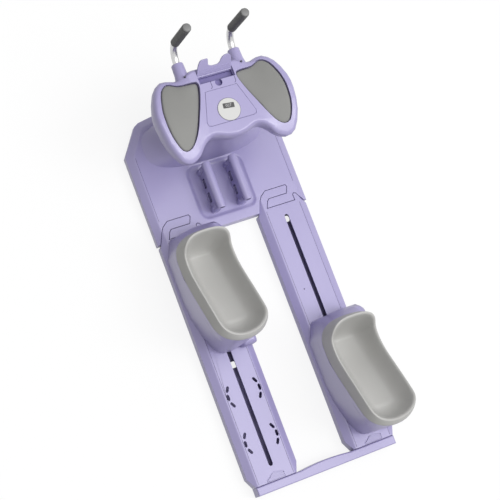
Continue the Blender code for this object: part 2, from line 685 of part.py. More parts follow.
def sliced_top(shape, planes_x, planes_y):
    """Cuts the top faces of a shape into a grid, so that they can be bent."""
    top = max(vert.co.z for vert in shape.verts)
    for axis, planes in (((1, 0, 0), planes_x), ((0, 1, 0), planes_y)):
        for plane in planes:
            faces = [face for face in shape.faces if min(vert.co.z for vert in face.verts) > top - 1e-5]
            edges = {edge for face in faces for edge in face.edges}
            verts = {vert for face in faces for vert in face.verts}
            bmesh.ops.bisect_plane(shape, geom=list(verts) + list(edges) + faces, dist=1e-6,
                                   plane_co=(plane * axis[0], plane * axis[1], 0), plane_no=axis)


def bend(shape, height, start_z, end_z):
    """Raises each point by height(x, y): not at all below start_z, fully from end_z up."""
    for vert in shape.verts:
        vert.co.z += height(vert.co.x, vert.co.y) * ramp(vert.co.z, start_z, end_z - start_z)
    bmesh.ops.triangulate(shape, faces=shape.faces)


def panel_outline(inset):
    front_half = PANEL_FRONT_HALF - inset
    rear_half = PANEL_REAR_HALF - inset
    front = PANEL_FRONT_Y - inset
    rear = PANEL_REAR_Y + inset
    return ((rear_half - 0.010, rear), (rear_half - 0.002, rear + 0.003), (rear_half, rear + 0.012),
            (front_half, front), (-front_half, front), (-rear_half, rear + 0.012),
            (0.002 - rear_half, rear + 0.003), (0.010 - rear_half, rear))


def build_console(plastic):
    outline = console_outline()
    shell = loft([level(inset_closed(outline, inset), z) for inset, z in (
        (0.0060, CONSOLE_BOTTOM_Z), (0.0025, CONSOLE_BOTTOM_Z + 0.010), (0.0, CONSOLE_BOTTOM_Z + 0.026),
        (0.0008, CONSOLE_TOP_Z - 0.0140), (0.0032, CONSOLE_TOP_Z - 0.0065), (0.0068, CONSOLE_TOP_Z - 0.0020),
        (CONSOLE_EDGE, CONSOLE_TOP_Z))])
    wings = [sign * x for sign in (-1, 1) for x in (PANEL_REAR_HALF, 0.092, 0.115, 0.140, 0.165)]
    sliced_top(shell, wings, (0.872, 0.895, 0.925, WING_MIDDLE_Y, 1.005, 1.035))
    bend(shell, wing_height, CONSOLE_BOTTOM_Z + 0.024, CONSOLE_TOP_Z)
    console = object_from("console_shell", shell)
    pads = (pad_outline(), mirrored(pad_outline()))
    pockets = [prism(inset_closed(pad, -PAD_GAP), PAD_POCKET_Z, 0.4) for pad in pads]
    pockets.append(prism(panel_outline(-FIT), CONSOLE_TOP_Z - PANEL_THICKNESS, 0.4))
    cut(console, object_from("console_pockets", merged(*pockets)))
    bay = STAND_HALF_WIDTH + BAY_GAP
    cut(console, object_from("stand_bay", box((-bay, BAY_REAR_Y, BAY_FLOOR_Z), (bay, 1.2, 0.4))))
    cut(console, object_from("trough", box((-TROUGH_HALF_WIDTH, TROUGH_REAR_Y, TROUGH_FLOOR_Z),
                                           (TROUGH_HALF_WIDTH, TROUGH_FRONT_Y, 0.4))))
    finger = turned(((FINGER_RADIUS, BAY_FLOOR_Z + 0.002), (FINGER_RADIUS, 0.4)), 20, (0, FINGER_Y, 0))
    cut(console, object_from("finger_notch", finger))
    inside = inset_closed(outline, CONSOLE_EDGE)
    cut(console, object_from("console_inside", prism(inside, 0.2, PAD_POCKET_Z - CONSOLE_WALL)))
    for number, x in enumerate((-HANDLE_X, HANDLE_X)):
        profile = ((SOCKET_ROOT_RADIUS, SOCKET_ROOT_Y), (SOCKET_ROOT_RADIUS, SOCKET_ROOT_Y + 0.006),
                   (SOCKET_RADIUS + 0.001, SOCKET_MOUTH_Y - 0.030), (SOCKET_RADIUS, SOCKET_MOUTH_Y - 0.002),
                   (SOCKET_RADIUS - 0.0015, SOCKET_MOUTH_Y))
        cut(console, object_from(f"socket_{number}", turned(profile, 24, (x, 0, TUBE_Z), "Y")), "UNION")
    bores = []
    screws = []
    for x in (-HANDLE_X, HANDLE_X):
        bore = ((TUBE_RADIUS + FIT, TUBE_SEAT_Y - FIT), (TUBE_RADIUS + FIT, SOCKET_MOUTH_Y + 0.01))
        bores.append(turned(bore, 20, (x, 0, TUBE_Z), "Y"))
        hole = ((SCREW_RADIUS + FIT, TUBE_Z + TUBE_RADIUS - 0.001), (SCREW_RADIUS + FIT, 0.4))
        screws.append(turned(hole, 12, (x, SCREW_Y, 0)))
    cut(console, object_from("tube_bores", merged(*bores)))
    cut(console, object_from("screw_holes", merged(*screws)))
    hole = turned(((COUNTER_BODY_RADIUS + FIT, 0.2), (COUNTER_BODY_RADIUS + FIT, 0.4)), 28, (0, COUNTER_Y, 0))
    cut(console, object_from("counter_hole", hole))
    reach = bay + PIN_SEAT + FIT
    pin_hole = turned(((PIN_RADIUS + FIT, -reach), (PIN_RADIUS + FIT, reach)), 12, (0, STAND_Y, STAND_Z), "X")
    cut(console, object_from("pin_hole", pin_hole))
    finish(settle(console), plastic).location.y = SEAM_Y
    under = inset_closed(outline, 0.0075)
    underside = prism(under, CONSOLE_BOTTOM_Z - COVER_THICKNESS - FIT, CONSOLE_BOTTOM_Z - FIT)
    bmesh.ops.translate(underside, verts=underside.verts, vec=(0, SEAM_Y, 0))
    finish(object_from("console_underside", underside), plastic)


def pad_height(x, y):
    """The pads rise outwards, sag with the wings and have a soft crown."""
    edge = min(math.hypot(abs(x) - point[0], y - point[1]) for point in pad_outline())
    crown = PAD_CROWN * (1 - (1 - ramp(edge, 0.004, 0.030)) ** 2)
    return PAD_RISE * ramp(abs(x), 0.060, 0.115) - wing_sag(x, y) + crown


def build_elbow_pads(foam):
    for side, outline in (("left", mirrored(pad_outline())), ("right", pad_outline())):
        sign = 1 if side == "right" else -1
        pad = loft([level(inset_closed(outline, inset), z) for inset, z in (
            (0.0010, PAD_POCKET_Z + FIT), (0.0, PAD_POCKET_Z + 0.0025), (0.0, PAD_TOP_Z - 0.0050),
            (0.0012, PAD_TOP_Z - 0.0018), (0.0040, PAD_TOP_Z))])
        sliced_top(pad, [sign * x for x in (0.082, 0.100, 0.118, 0.136, 0.154)], (0.905, 0.935, 0.965, 0.995, 1.022))
        bend(pad, pad_height, PAD_POCKET_Z + 0.003, PAD_TOP_Z)
        finish(object_from(f"elbow_pad_{side}", pad), foam, 60).location.y = SEAM_Y


def build_counter(plastic, cover, glass):
    seat = CONSOLE_TOP_Z - PANEL_THICKNESS + FIT
    panel = object_from("counter_panel", prism(panel_outline(FIT), seat, CONSOLE_TOP_Z))
    around = COUNTER_RADIUS + COUNTER_GAP
    hole = turned(((around, 0.2), (around, 0.4)), 36, (0, COUNTER_Y, 0))
    cut(panel, object_from("panel_hole", hole))
    finish(settle(panel), plastic).location.y = SEAM_Y
    surface = CONSOLE_TOP_Z + COUNTER_PROUD
    profile = ((COUNTER_BODY_RADIUS, seat - COUNTER_BODY_DEPTH), (COUNTER_BODY_RADIUS, seat), (COUNTER_RADIUS, seat),
               (COUNTER_RADIUS, surface - 0.0008), (COUNTER_RADIUS - 0.0010, surface))
    counter = object_from("counter_body", turned(profile, 40, (0, COUNTER_Y, 0)))
    half_x, half_y = WINDOW_SIZE[0] / 2, WINDOW_SIZE[1] / 2
    turn = Matrix.Rotation(math.radians(WINDOW_TURN_DEG), 2)

    def window(grow):
        corners = rounded_box_outline(half_x + grow, -half_y - grow, half_y + grow, 0.0015, 2)
        return [turn @ Vector(corner) + Vector(WINDOW_OFFSET) + Vector((0, COUNTER_Y)) for corner in corners]

    cut(counter, object_from("display_seat", prism(window(FIT), surface - WINDOW_DEPTH, 0.4)))
    finish(settle(counter), cover).location.y = SEAM_Y
    display = object_from("counter_display", prism(window(0), surface - WINDOW_DEPTH + FIT, surface - 0.0004))
    finish(display, glass).location.y = SEAM_Y


def stand_outline():
    """A tapering plate whose top edge is notched to a pair of prongs."""
    half = STAND_HALF_WIDTH
    top = STAND_TOP_HALF_WIDTH
    end = STAND_LENGTH
    inner = STAND_NOTCH_HALF
    right = [(half, 0), (half, 0.016), (top, 0.024)] + arc((top - 0.004, end - 0.004), 0.004, 0, 90, 3)
    right += arc((inner + 0.002, end - 0.002), 0.002, 90, 180, 2)
    for i in range(5):
        angle = math.radians(90 * i / 4)
        right.append((inner * (0.55 + 0.45 * math.cos(angle)),
                      end - STAND_NOTCH_DEPTH + 0.007 * (1 - math.sin(angle))))
    return right + mirrored(right)


def build_stand(plastic, steel):
    """The flap is open at rest, and its origin lies on its hinge."""
    flap = object_from("device_stand", prism(stand_outline(), -STAND_THICKNESS / 2, STAND_THICKNESS / 2))
    half = STAND_HALF_WIDTH
    knuckle = turned(((0.0030, -half), (0.0030, half)), 16, axis="X")
    cut(flap, object_from("knuckle", knuckle), "UNION")
    ridges = []
    for i in range(STAND_RIDGES):
        y = 0.010 + 0.006 * i
        ridges.append(box((-0.036, y, STAND_THICKNESS / 2 - 0.001),
                          (0.036, y + 0.0015, STAND_THICKNESS / 2 + 0.0006)))
    for number, ridge in enumerate(ridges):
        cut(flap, object_from(f"ridge_{number}", ridge), "UNION")
    hole = turned(((PIN_RADIUS + FIT, -0.06), (PIN_RADIUS + FIT, 0.06)), 12, axis="X")
    cut(flap, object_from("flap_hole", hole))
    finish(settle(flap), plastic)
    flap.rotation_euler.x = math.radians(STAND_OPEN_DEG)
    flap.location = (0, SEAM_Y + STAND_Y, STAND_Z)
    reach = STAND_HALF_WIDTH + BAY_GAP + PIN_SEAT
    pin = object_from("stand_pin", turned(((PIN_RADIUS, -reach), (PIN_RADIUS, reach)), 12, axis="X"))
    finish(pin, steel).location = (0, SEAM_Y + STAND_Y, STAND_Z)


def handle_path():
    """Side view of a handle tube: straight out of its socket, then bent up; returns (y, z) points."""
    centre = (SOCKET_MOUTH_Y, TUBE_Z + TUBE_BEND)
    return [(TUBE_SEAT_Y, TUBE_Z)] + arc(centre, TUBE_BEND, -90, TUBE_BEND_DEG - 90, 10)


def build_handles(chrome, rubber, cap_plastic, steel):
    bend_end = handle_path()[-1]
    lean = math.radians(TUBE_BEND_DEG)
    along = Vector((0, math.cos(lean), math.sin(lean)))
    grip_start = Vector((0, *bend_end))
    for side, x in (("left", -HANDLE_X), ("right", HANDLE_X)):
        curve = bpy.data.curves.new(f"handle_tube_{side}", "CURVE")
        curve.dimensions = "3D"
        spline = curve.splines.new("POLY")
        points = [Vector((0, *point)) for point in handle_path()] + [grip_start + along * (GRIP_LENGTH - 0.002)]
        spline.points.add(len(points) - 1)
        for target, point in zip(spline.points, points):
            target.co = (0, point.y, point.z, 1)
        curve.bevel_depth = TUBE_RADIUS
        curve.bevel_resolution = 5
        curve.use_fill_caps = True
        curve.materials.append(chrome)
        tube = bpy.data.objects.new(f"handle_tube_{side}", curve)
        bpy.context.scene.collection.objects.link(tube)
        tube.location = (x, SEAM_Y, 0)
        turn = Vector((0, 0, 1)).rotation_difference(along).to_matrix().to_4x4()
        seat = Matrix.Translation(grip_start) @ turn
        profile = [(TUBE_RADIUS + FIT, 0), (GRIP_RADIUS - GRIP_RIB_DEPTH, 0)]
        step = GRIP_LENGTH / GRIP_RIBS
        for i in range(GRIP_RIBS):
            profile += [(GRIP_RADIUS, step * (i + 0.5)), (GRIP_RADIUS - GRIP_RIB_DEPTH, step * (i + 1))]
        profile.append((TUBE_RADIUS + FIT, GRIP_LENGTH))
        grip = turned_ring(profile, 18)
        bmesh.ops.transform(grip, matrix=seat, verts=grip.verts)
        finish(object_from(f"grip_{side}", grip), rubber, 60).location = (x, SEAM_Y, 0)
        cap = turned(((GRIP_RADIUS - 0.0015, GRIP_LENGTH + FIT), (GRIP_RADIUS - 0.001, GRIP_LENGTH + 0.0025),
                      (GRIP_RADIUS - 0.003, GRIP_LENGTH + CAP_HEIGHT - 0.001), (0.004, GRIP_LENGTH + CAP_HEIGHT)), 24)
        bmesh.ops.transform(cap, matrix=seat, verts=cap.verts)
        finish(object_from(f"grip_cap_{side}", cap), cap_plastic, 60).location = (x, SEAM_Y, 0)
        head = CONSOLE_TOP_Z - 0.0004
        screw = turned(((SCREW_RADIUS, TUBE_Z + TUBE_RADIUS + FIT), (SCREW_RADIUS, head),
                        (SCREW_RADIUS - 0.0005, head + 0.0006)), 12)
        finish(object_from(f"socket_screw_{side}", screw), steel).location = (x, SEAM_Y + SCREW_Y, 0)


def turned_ring(profile, sides):
    """Revolves a closed (radius, height) profile that keeps clear of the axis."""
    shape = bmesh.new()
    loops = []
    for i in range(sides):
        angle = 2 * math.pi * i / sides
        loops.append([shape.verts.new((r * math.cos(angle), r * math.sin(angle), h)) for r, h in profile])
    count = len(profile)
    for i in range(sides):
        here, there = loops[i], loops[(i + 1) % sides]
        for k in range(count):
            m = (k + 1) % count
            shape.faces.new((here[k], there[k], there[m], here[m]))
    return shape


def cup_plan(inset):
    """(x, u) points of the knee cup's outline, from the rear left forwards and round."""
    half = CUP_HALF_WIDTH - inset
    front_u = CUP_FRONT_U + CUP_FRONT_ROUND
    rear_u = CUP_REAR_U - CUP_REAR_ROUND
    points = []
    for i in range(CUP_SIDE_STEPS):
        points.append((-half, rear_u + (front_u - rear_u) * i / CUP_SIDE_STEPS))
    for i in range(2 * CUP_END_STEPS):
        angle = math.pi * i / (2 * CUP_END_STEPS) - math.pi / 2
        x = half * math.copysign(abs(math.sin(angle)) ** 0.74, math.sin(angle))
        points.append((x, front_u - (CUP_FRONT_ROUND - inset) * abs(math.cos(angle)) ** 0.76))
    for i in range(CUP_SIDE_STEPS):
        points.append((half, front_u + (rear_u - front_u) * i / CUP_SIDE_STEPS))
    for i in range(2 * CUP_END_STEPS):
        angle = math.pi / 2 - math.pi * i / (2 * CUP_END_STEPS)
        x = half * math.copysign(abs(math.sin(angle)) ** 0.95, math.sin(angle))
        points.append((x, rear_u + (CUP_REAR_ROUND - inset) * abs(math.cos(angle)) ** 0.95))
    return points


def rim_z(u):
    return between(CUP_RIM, u)


def lip_z(u):
    """Top edge of the carriage, under the cup's overhanging lip."""
    return between(CUP_LIP, u)


def trough_z(u):
    """Lowest line of the trough, along its middle."""
    return between(CUP_FLOOR, u)


def base_z(u):
    """Lowest line of the cup's underside."""
    return between(CUP_BASE, u)


def bowl(rings):
    """Closes a stack of rings with a flat bottom and, at the top end, with rungs across the last ring."""
    shape = bmesh.new()
    loops = [[shape.verts.new(point) for point in ring] for ring in rings]
    count = len(loops[0])
    for low, high in zip(loops, loops[1:]):
        for i in range(count):
            j = (i + 1) % count
            shape.faces.new((low[i], low[j], high[j], high[i]))
    for loop in (loops[0], loops[-1]):
        rungs(shape, loop)
    return shape


def rungs(shape, loop):
    """Fills a ring of cup_plan with strips across it, from the middle of its front to that of its rear."""
    count = len(loop)
    front = CUP_SIDE_STEPS + CUP_END_STEPS
    for k in range(count // 2):
        corners = []
        for step in (-k, -k - 1, k + 1, k):
            corner = loop[(front + step) % count]
            if corner not in corners:
                corners.append(corner)
        shape.faces.new(corners)


def cup_rings():
    outer = cup_plan(0)
    rings = []

    def ring(inset, height):
        rings.append([(x, -u, height(outer_u, u)) for (x, u), (_, outer_u) in zip(cup_plan(inset), outer)])

    inner = POCKET_WALL + POCKET_GAP
    ring(0.016, lambda o, u: base_z(u))
    ring(inner, lambda o, u: base_z(o) + 0.009)
    ring(inner, lambda o, u: lip_z(o) + FIT)
    ring(0.0, lambda o, u: lip_z(o) + FIT)
    for share in (0.30, 0.75):
        ring(CUP_RIM_INSET * share**1.6, lambda o, u, s=share: lip_z(o) + (rim_z(o) - lip_z(o)) * s)
    ring(CUP_RIM_INSET, lambda o, u: rim_z(o))
    ring(CUP_RIM_WIDTH - 0.003, lambda o, u: rim_z(o) - 0.0015)
    ring(CUP_RIM_WIDTH, lambda o, u: rim_z(o) - 0.006)
    for share in (0.22, 0.45, 0.70, 0.92):
        inset = CUP_RIM_WIDTH + (CUP_FRONT_ROUND - CUP_RIM_WIDTH) * share
        ring(inset, lambda o, u, s=share: trough_z(u) + (rim_z(o) - 0.006 - trough_z(u)) * (1 - s) ** 2.4)
    return rings


def build_knee_cups(foam):
    cup = object_from("cup", bowl(cup_rings()))
    finish(cup, foam, 60)
    for side, sign in (("left", -1), ("right", 1)):
        y = SEAM_Y + CARRIAGE_REST_FRONT_Y[side]
        place(cup, f"knee_cup_{side}", (sign * RAIL_PITCH / 2, y, 0))
    bpy.data.objects.remove(cup)


def carriage_foot_plan():
    """The carriage where it meets the rail: a nose cut off at its left corner, and a long elliptic rear."""
    foot = []
    for i, (x, u) in enumerate(cup_plan(0)):
        step = i - CUP_SIDE_STEPS
        if 0 <= step <= 2 * CUP_END_STEPS:
            k = max(k for k in range(len(NOSE) - 1) if NOSE[k][0] <= step)
            share = (step - NOSE[k][0]) / (NOSE[k + 1][0] - NOSE[k][0])
            x, u = (NOSE[k][n] + (NOSE[k + 1][n] - NOSE[k][n]) * share for n in (1, 2))
        else:
            half, start = (CARRIAGE_LEFT, 0.150) if x < 0 else (CARRIAGE_RIGHT, 0.240)
            u = min(CARRIAGE_LENGTH, u)
            reach = math.sqrt(max(0.0, 1 - (max(0.0, u - start) / (CARRIAGE_LENGTH - start)) ** 2))
            x = math.copysign(half * min(abs(x) / CUP_HALF_WIDTH, reach), x) if abs(x) > 1e-6 else 0.0
        foot.append((x, u))
    return foot


def lug_shape():
    """The rounded heel at the carriage's rear right, low over the rail's shoulder."""
    rings = []
    rear = -CARRIAGE_LENGTH + 0.004
    for inset, z in ((0.0, PLATEAU_Z + GUIDE_GAP), (0.0, PLATEAU_Z + 0.028), (0.004, PLATEAU_Z + 0.036),
                     (0.012, PLATEAU_Z + 0.041)):
        plan = rounded_box_outline(0.022 - inset, rear + inset, rear + 0.045 - inset, 0.009 - inset / 2, 3)
        rings.append(level([(x + CUP_HALF_WIDTH - 0.022, y) for x, y in plan], z))
    return loft(rings)


def build_carriages(plastic):
    outer = cup_plan(0)
    foot = carriage_foot_plan()
    wall = cup_plan(POCKET_WALL)
    low = SHOULDER_Z - 0.001
    rings = []
    for share, z in ((0.0, low), (0.0, PLATEAU_Z + 0.006), (0.30, None), (0.60, None), (0.85, None), (1.0, None)):
        ring = []
        for (fx, fu), (ox, ou) in zip(foot, outer):
            height = z if z is not None else PLATEAU_Z + 0.006 + (lip_z(ou) - PLATEAU_Z - 0.006) * share
            steepness = 1.3 + 6.5 * ramp(fx, -0.040, 0.080) * ramp(-fu, -CUP_FRONT_ROUND, CUP_FRONT_ROUND)
            blend = share**steepness
            ring.append((fx + (ox - fx) * blend, -(fu + (ou - fu) * blend), height))
        rings.append(ring)
    rings.append([(x, -u, lip_z(o)) for (x, u), (_, o) in zip(wall, outer)])
    rings.append([(x, -u, base_z(o) + 0.0080) for (x, u), (_, o) in zip(wall, outer)])
    rings.append([(x, -u, base_z(u) - POCKET_GAP) for x, u in cup_plan(0.0155)])
    carriage = object_from("carriage", bowl(rings))
    shoulder = 2 * SHOULDER_WIDTH
    room = ((-PLATEAU_HALF_WIDTH - shoulder, 0), (PLATEAU_HALF_WIDTH + shoulder, 0),
            (PLATEAU_HALF_WIDTH + shoulder, PLATEAU_Z + GUIDE_GAP - 2 * SHOULDER_DROP),
            (PLATEAU_HALF_WIDTH, PLATEAU_Z + GUIDE_GAP), (-PLATEAU_HALF_WIDTH, PLATEAU_Z + GUIDE_GAP),
            (-PLATEAU_HALF_WIDTH - shoulder, PLATEAU_Z + GUIDE_GAP - 2 * SHOULDER_DROP))
    cut(carriage, object_from("rail_room", prism(room, -0.5, 0.1, "Y")))
    skirt = box((-0.2, -NOSE_SKIRT_U, -0.1), (0.2, 0.2, PLATEAU_Z + GUIDE_GAP))
    cut(carriage, object_from("nose_skirt", skirt))
    cut(carriage, object_from("lug", lug_shape()), "UNION")
    finish(settle(carriage), plastic, 50)
    for side, sign in (("left", -1), ("right", 1)):
        y = SEAM_Y + CARRIAGE_REST_FRONT_Y[side]
        place(carriage, f"knee_carriage_{side}", (sign * RAIL_PITCH / 2, y, 0))
    bpy.data.objects.remove(carriage)


def build_trolleys(plastic, steel, rubber):
    """A channel under the slot, with stems up to the carriage and two wheelsets that run on the bottom cover."""
    plate_top = PLATEAU_Z - SHELL_WALL - GUIDE_GAP
    plate_bottom = plate_top - TROLLEY_PLATE
    axle_z = COVER_TOP_Z + FIT + WHEEL_RADIUS
    half = TROLLEY_HALF_WIDTH
    cheek = TROLLEY_HALF_WIDTH - TROLLEY_CHEEK
    low = axle_z - AXLE_RADIUS - 0.003
    channel = ((-half, low), (-cheek, low), (-cheek, plate_bottom), (cheek, plate_bottom), (cheek, low), (half, low),
               (half, plate_top), (-half, plate_top))
    trolley = object_from("trolley", prism(channel, -TROLLEY_REAR_U, -TROLLEY_FRONT_U, "Y"))
    stem_half = SLOT_WIDTH / 2 - 0.001
    for number, (start, end) in enumerate(STEM_SPANS_U):
        stem = slot_outline((0, -(start + end) / 2), end - start, 2 * stem_half, 0, 4)
        top = PLATEAU_Z + GUIDE_GAP - FIT
        cut(trolley, object_from(f"stem_{number}", prism(stem, plate_top - 0.002, top)), "UNION")
    holes = [turned(((AXLE_RADIUS + FIT, -0.05), (AXLE_RADIUS + FIT, 0.05)), 14, (0, -u, axle_z), "X") for u in AXLE_U]
    cut(trolley, object_from("axle_holes", merged(*holes)))
    finish(settle(trolley), plastic)
    wheel_x = half + 0.0015
    reach = wheel_x + WHEEL_WIDTH - 0.001
    axle = object_from("axle", turned(((AXLE_RADIUS, -reach), (AXLE_RADIUS, reach)), 14, axis="X"))
    finish(axle, steel)
    bore = AXLE_RADIUS + FIT
    profile = ((bore, 0), (WHEEL_RADIUS - 0.001, 0), (WHEEL_RADIUS, 0.001), (WHEEL_RADIUS, WHEEL_WIDTH - 0.001),
               (WHEEL_RADIUS - 0.001, WHEEL_WIDTH), (bore, WHEEL_WIDTH))
    wheel = turned_ring(profile, 20)
    bmesh.ops.rotate(wheel, verts=wheel.verts, cent=(0, 0, 0), matrix=Matrix.Rotation(math.pi / 2, 3, "Y"))
    wheel = finish(object_from("wheel", wheel), rubber)
    for side, sign in (("left", -1), ("right", 1)):
        x = sign * RAIL_PITCH / 2
        y = SEAM_Y + CARRIAGE_REST_FRONT_Y[side]
        place(trolley, f"trolley_{side}", (x, y, 0))
        for end, u in zip(("front", "rear"), AXLE_U):
            place(axle, f"axle_{side}_{end}", (x, y - u, axle_z))
            inner_x = x - sign * wheel_x - (WHEEL_WIDTH if sign > 0 else 0)
            outer_x = x + sign * wheel_x - (WHEEL_WIDTH if sign < 0 else 0)
            place(wheel, f"wheel_{side}_{end}_inner", (inner_x, y - u, axle_z))
            place(wheel, f"wheel_{side}_{end}_outer", (outer_x, y - u, axle_z))
    for source in (trolley, axle, wheel):
        bpy.data.objects.remove(source)


def build():
    for leftover in list(bpy.data.objects):
        bpy.data.objects.remove(leftover)
    lavender = material("lavender_plastic", (0.42, 0.37, 0.66), 0.38)
    dark_plastic = material("dark_plastic", (0.05, 0.05, 0.06), 0.5)
    foam = material("grey_foam", (0.33, 0.33, 0.32), 0.75)
    white = material("white_plastic", (0.85, 0.85, 0.84), 0.35)
    glass = material("display_window", (0.06, 0.07, 0.06), 0.15)
    chrome = material("chrome", (0.85, 0.85, 0.86), 0.08, 1.0)
    steel = material("steel", (0.55, 0.55, 0.56), 0.3, 1.0)
    rubber = material("black_rubber", (0.05, 0.05, 0.05), 0.8)
    cap_grey = material("cap_grey", (0.25, 0.25, 0.25), 0.6)
    build_rails(lavender)
    build_rail_covers(lavender)
    build_latches(lavender)
    build_crossbar(lavender)
    build_base(lavender)
    build_feet(rubber)
    build_grip_bars(lavender)
    build_console(lavender)
    build_elbow_pads(foam)
    build_counter(lavender, white, glass)
    build_stand(lavender, steel)
    build_handles(chrome, rubber, cap_grey, steel)
    build_knee_cups(foam)
    build_carriages(lavender)
    build_trolleys(dark_plastic, steel, rubber)


build()
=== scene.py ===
import json
import math

import bmesh
import bpy
from mathutils import Matrix, Vector

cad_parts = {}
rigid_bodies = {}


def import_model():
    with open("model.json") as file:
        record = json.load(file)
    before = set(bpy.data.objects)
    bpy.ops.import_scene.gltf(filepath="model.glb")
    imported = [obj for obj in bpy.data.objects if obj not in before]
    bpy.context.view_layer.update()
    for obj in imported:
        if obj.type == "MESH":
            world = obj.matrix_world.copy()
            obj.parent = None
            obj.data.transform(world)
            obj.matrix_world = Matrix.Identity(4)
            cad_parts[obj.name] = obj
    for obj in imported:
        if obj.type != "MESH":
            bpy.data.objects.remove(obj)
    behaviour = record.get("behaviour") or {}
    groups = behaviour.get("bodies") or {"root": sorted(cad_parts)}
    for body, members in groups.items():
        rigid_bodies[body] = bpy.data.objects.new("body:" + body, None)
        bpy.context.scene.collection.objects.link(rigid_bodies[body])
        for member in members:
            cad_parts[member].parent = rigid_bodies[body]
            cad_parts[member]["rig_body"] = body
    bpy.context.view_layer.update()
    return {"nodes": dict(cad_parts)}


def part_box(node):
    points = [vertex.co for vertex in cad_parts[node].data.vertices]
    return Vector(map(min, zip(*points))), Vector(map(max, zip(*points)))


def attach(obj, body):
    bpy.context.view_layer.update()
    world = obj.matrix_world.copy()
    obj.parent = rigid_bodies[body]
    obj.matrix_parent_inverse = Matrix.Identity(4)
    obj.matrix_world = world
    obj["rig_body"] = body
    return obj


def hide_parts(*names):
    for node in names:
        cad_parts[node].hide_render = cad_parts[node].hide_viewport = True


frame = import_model()
parts = frame["nodes"]


# Rails. One injection-moulded shell used on both sides: a flat running deck between sloped shoulders,
# with the slot that the carriage runs along, dashed foot marks and a small stop hole.
# Each carries a bottom cover and, at its rear end, a ridged latch for the crossbar.
def moulded_grain():
    """The spark-eroded texture of a moulded shell: a fine grain and a slow, faint mottling."""
    group = bpy.data.node_groups.new("moulded_grain", "ShaderNodeTree")
    sockets = group.interface
    sockets.new_socket("Place", in_out="INPUT", socket_type="NodeSocketVector")
    sockets.new_socket("Grain size", in_out="INPUT", socket_type="NodeSocketFloat")
    sockets.new_socket("Mottle", in_out="OUTPUT", socket_type="NodeSocketFloat")
    sockets.new_socket("Grain", in_out="OUTPUT", socket_type="NodeSocketFloat")
    entry = group.nodes.new("NodeGroupInput")
    leave = group.nodes.new("NodeGroupOutput")
    slow = group.nodes.new("ShaderNodeTexNoise")
    slow.inputs["Scale"].default_value = 9.0
    slow.inputs["Detail"].default_value = 3.0
    fine = group.nodes.new("ShaderNodeTexNoise")
    fine.inputs["Detail"].default_value = 2.0
    pits = group.nodes.new("ShaderNodeTexVoronoi")
    pits.inputs["Randomness"].default_value = 1.0
    join = group.nodes.new("ShaderNodeMix")
    join.inputs["Factor"].default_value = 0.4
    link = group.links.new
    link(entry.outputs["Place"], slow.inputs["Vector"])
    for pattern in (fine, pits):
        link(entry.outputs["Place"], pattern.inputs["Vector"])
        link(entry.outputs["Grain size"], pattern.inputs["Scale"])
    link(fine.outputs["Fac"], join.inputs["A"])
    link(pits.outputs["Distance"], join.inputs["B"])
    link(slow.outputs["Fac"], leave.inputs["Mottle"])
    link(join.outputs["Result"], leave.inputs["Grain"])
    return group


grain_group = moulded_grain()


def textured(name, dark, light, roughness, grain_size, depth):
    """A material whose colour follows the mottling, and whose gloss and normal follow the grain."""
    made = bpy.data.materials.new(name)
    made.use_nodes = True
    nodes = made.node_tree.nodes
    link = made.node_tree.links.new
    shader = nodes["Principled BSDF"]
    place = nodes.new("ShaderNodeTexCoord")
    surface = nodes.new("ShaderNodeGroup")
    surface.node_tree = grain_group
    surface.inputs["Grain size"].default_value = grain_size
    link(place.outputs["Object"], surface.inputs["Place"])
    colour = nodes.new("ShaderNodeMix")
    colour.data_type = "RGBA"
    colour.inputs["A"].default_value = (*dark, 1)
    colour.inputs["B"].default_value = (*light, 1)
    link(surface.outputs["Mottle"], colour.inputs["Factor"])
    link(colour.outputs["Result"], shader.inputs["Base Color"])
    gloss = nodes.new("ShaderNodeMapRange")
    gloss.inputs["To Min"].default_value = roughness - 0.05
    gloss.inputs["To Max"].default_value = roughness + 0.06
    link(surface.outputs["Grain"], gloss.inputs["Value"])
    link(gloss.outputs["Result"], shader.inputs["Roughness"])
    relief = nodes.new("ShaderNodeBump")
    relief.inputs["Distance"].default_value = depth
    relief.inputs["Strength"].default_value = 0.5
    link(surface.outputs["Grain"], relief.inputs["Height"])
    link(relief.outputs["Normal"], shader.inputs["Normal"])
    return made


def paint(material, *names):
    """Gives CAD nodes that stay as they are their finish."""
    for name in names:
        for slot in parts[name].material_slots:
            slot.material = material


LAVENDER_DEEP = (0.310, 0.279, 0.495)
LAVENDER_PALE = (0.350, 0.317, 0.535)
# Painted shade: the lighter colour of the near-black violet that stands in for shade in joints and grooves.
PAINTED_SHADE_VIOLET = (0.050, 0.038, 0.130)
shell_plastic = textured("lavender_shell", LAVENDER_DEEP, LAVENDER_PALE, 0.34, 1100, 0.00006)
shell_plastic.node_tree.nodes["Principled BSDF"].inputs["Specular IOR Level"].default_value = 0.85
# Painted shade: a near-black violet laid on joint strips, groove floors and walls, the grip windows' walls and the
# bars' bores, standing in for the shade that falls in them.
dark_shade_paint = textured("lavender_painted_shade", (0.040, 0.028, 0.115), PAINTED_SHADE_VIOLET, 0.50, 900, 0.00006)
DECK_Z = 0.045
RAIL_X = 0.150
SHOULDER_ROUND = 0.0030
EDGE_ROUND = 0.0007
RAIL_LINE_X = 0.0520
LINE_START = 0.0040
LINE_STOP = 0.0020
CRISP_EDGE_DEG = 38
RAIL_REAR_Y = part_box("rail_left")[0].y
BASE_REAR_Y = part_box("base_housing")[0].y
HOOK_FRONT_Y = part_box("rail_left")[1].y


def moulding_from(node_name):
    """An editable copy of a CAD piece: welded, with its flat faces made whole again."""
    shape = bmesh.new()
    shape.from_mesh(parts[node_name].data)
    bmesh.ops.remove_doubles(shape, verts=shape.verts, dist=0.00001)
    bmesh.ops.dissolve_limit(shape, angle_limit=math.radians(0.3), verts=shape.verts, edges=shape.edges)
    return shape


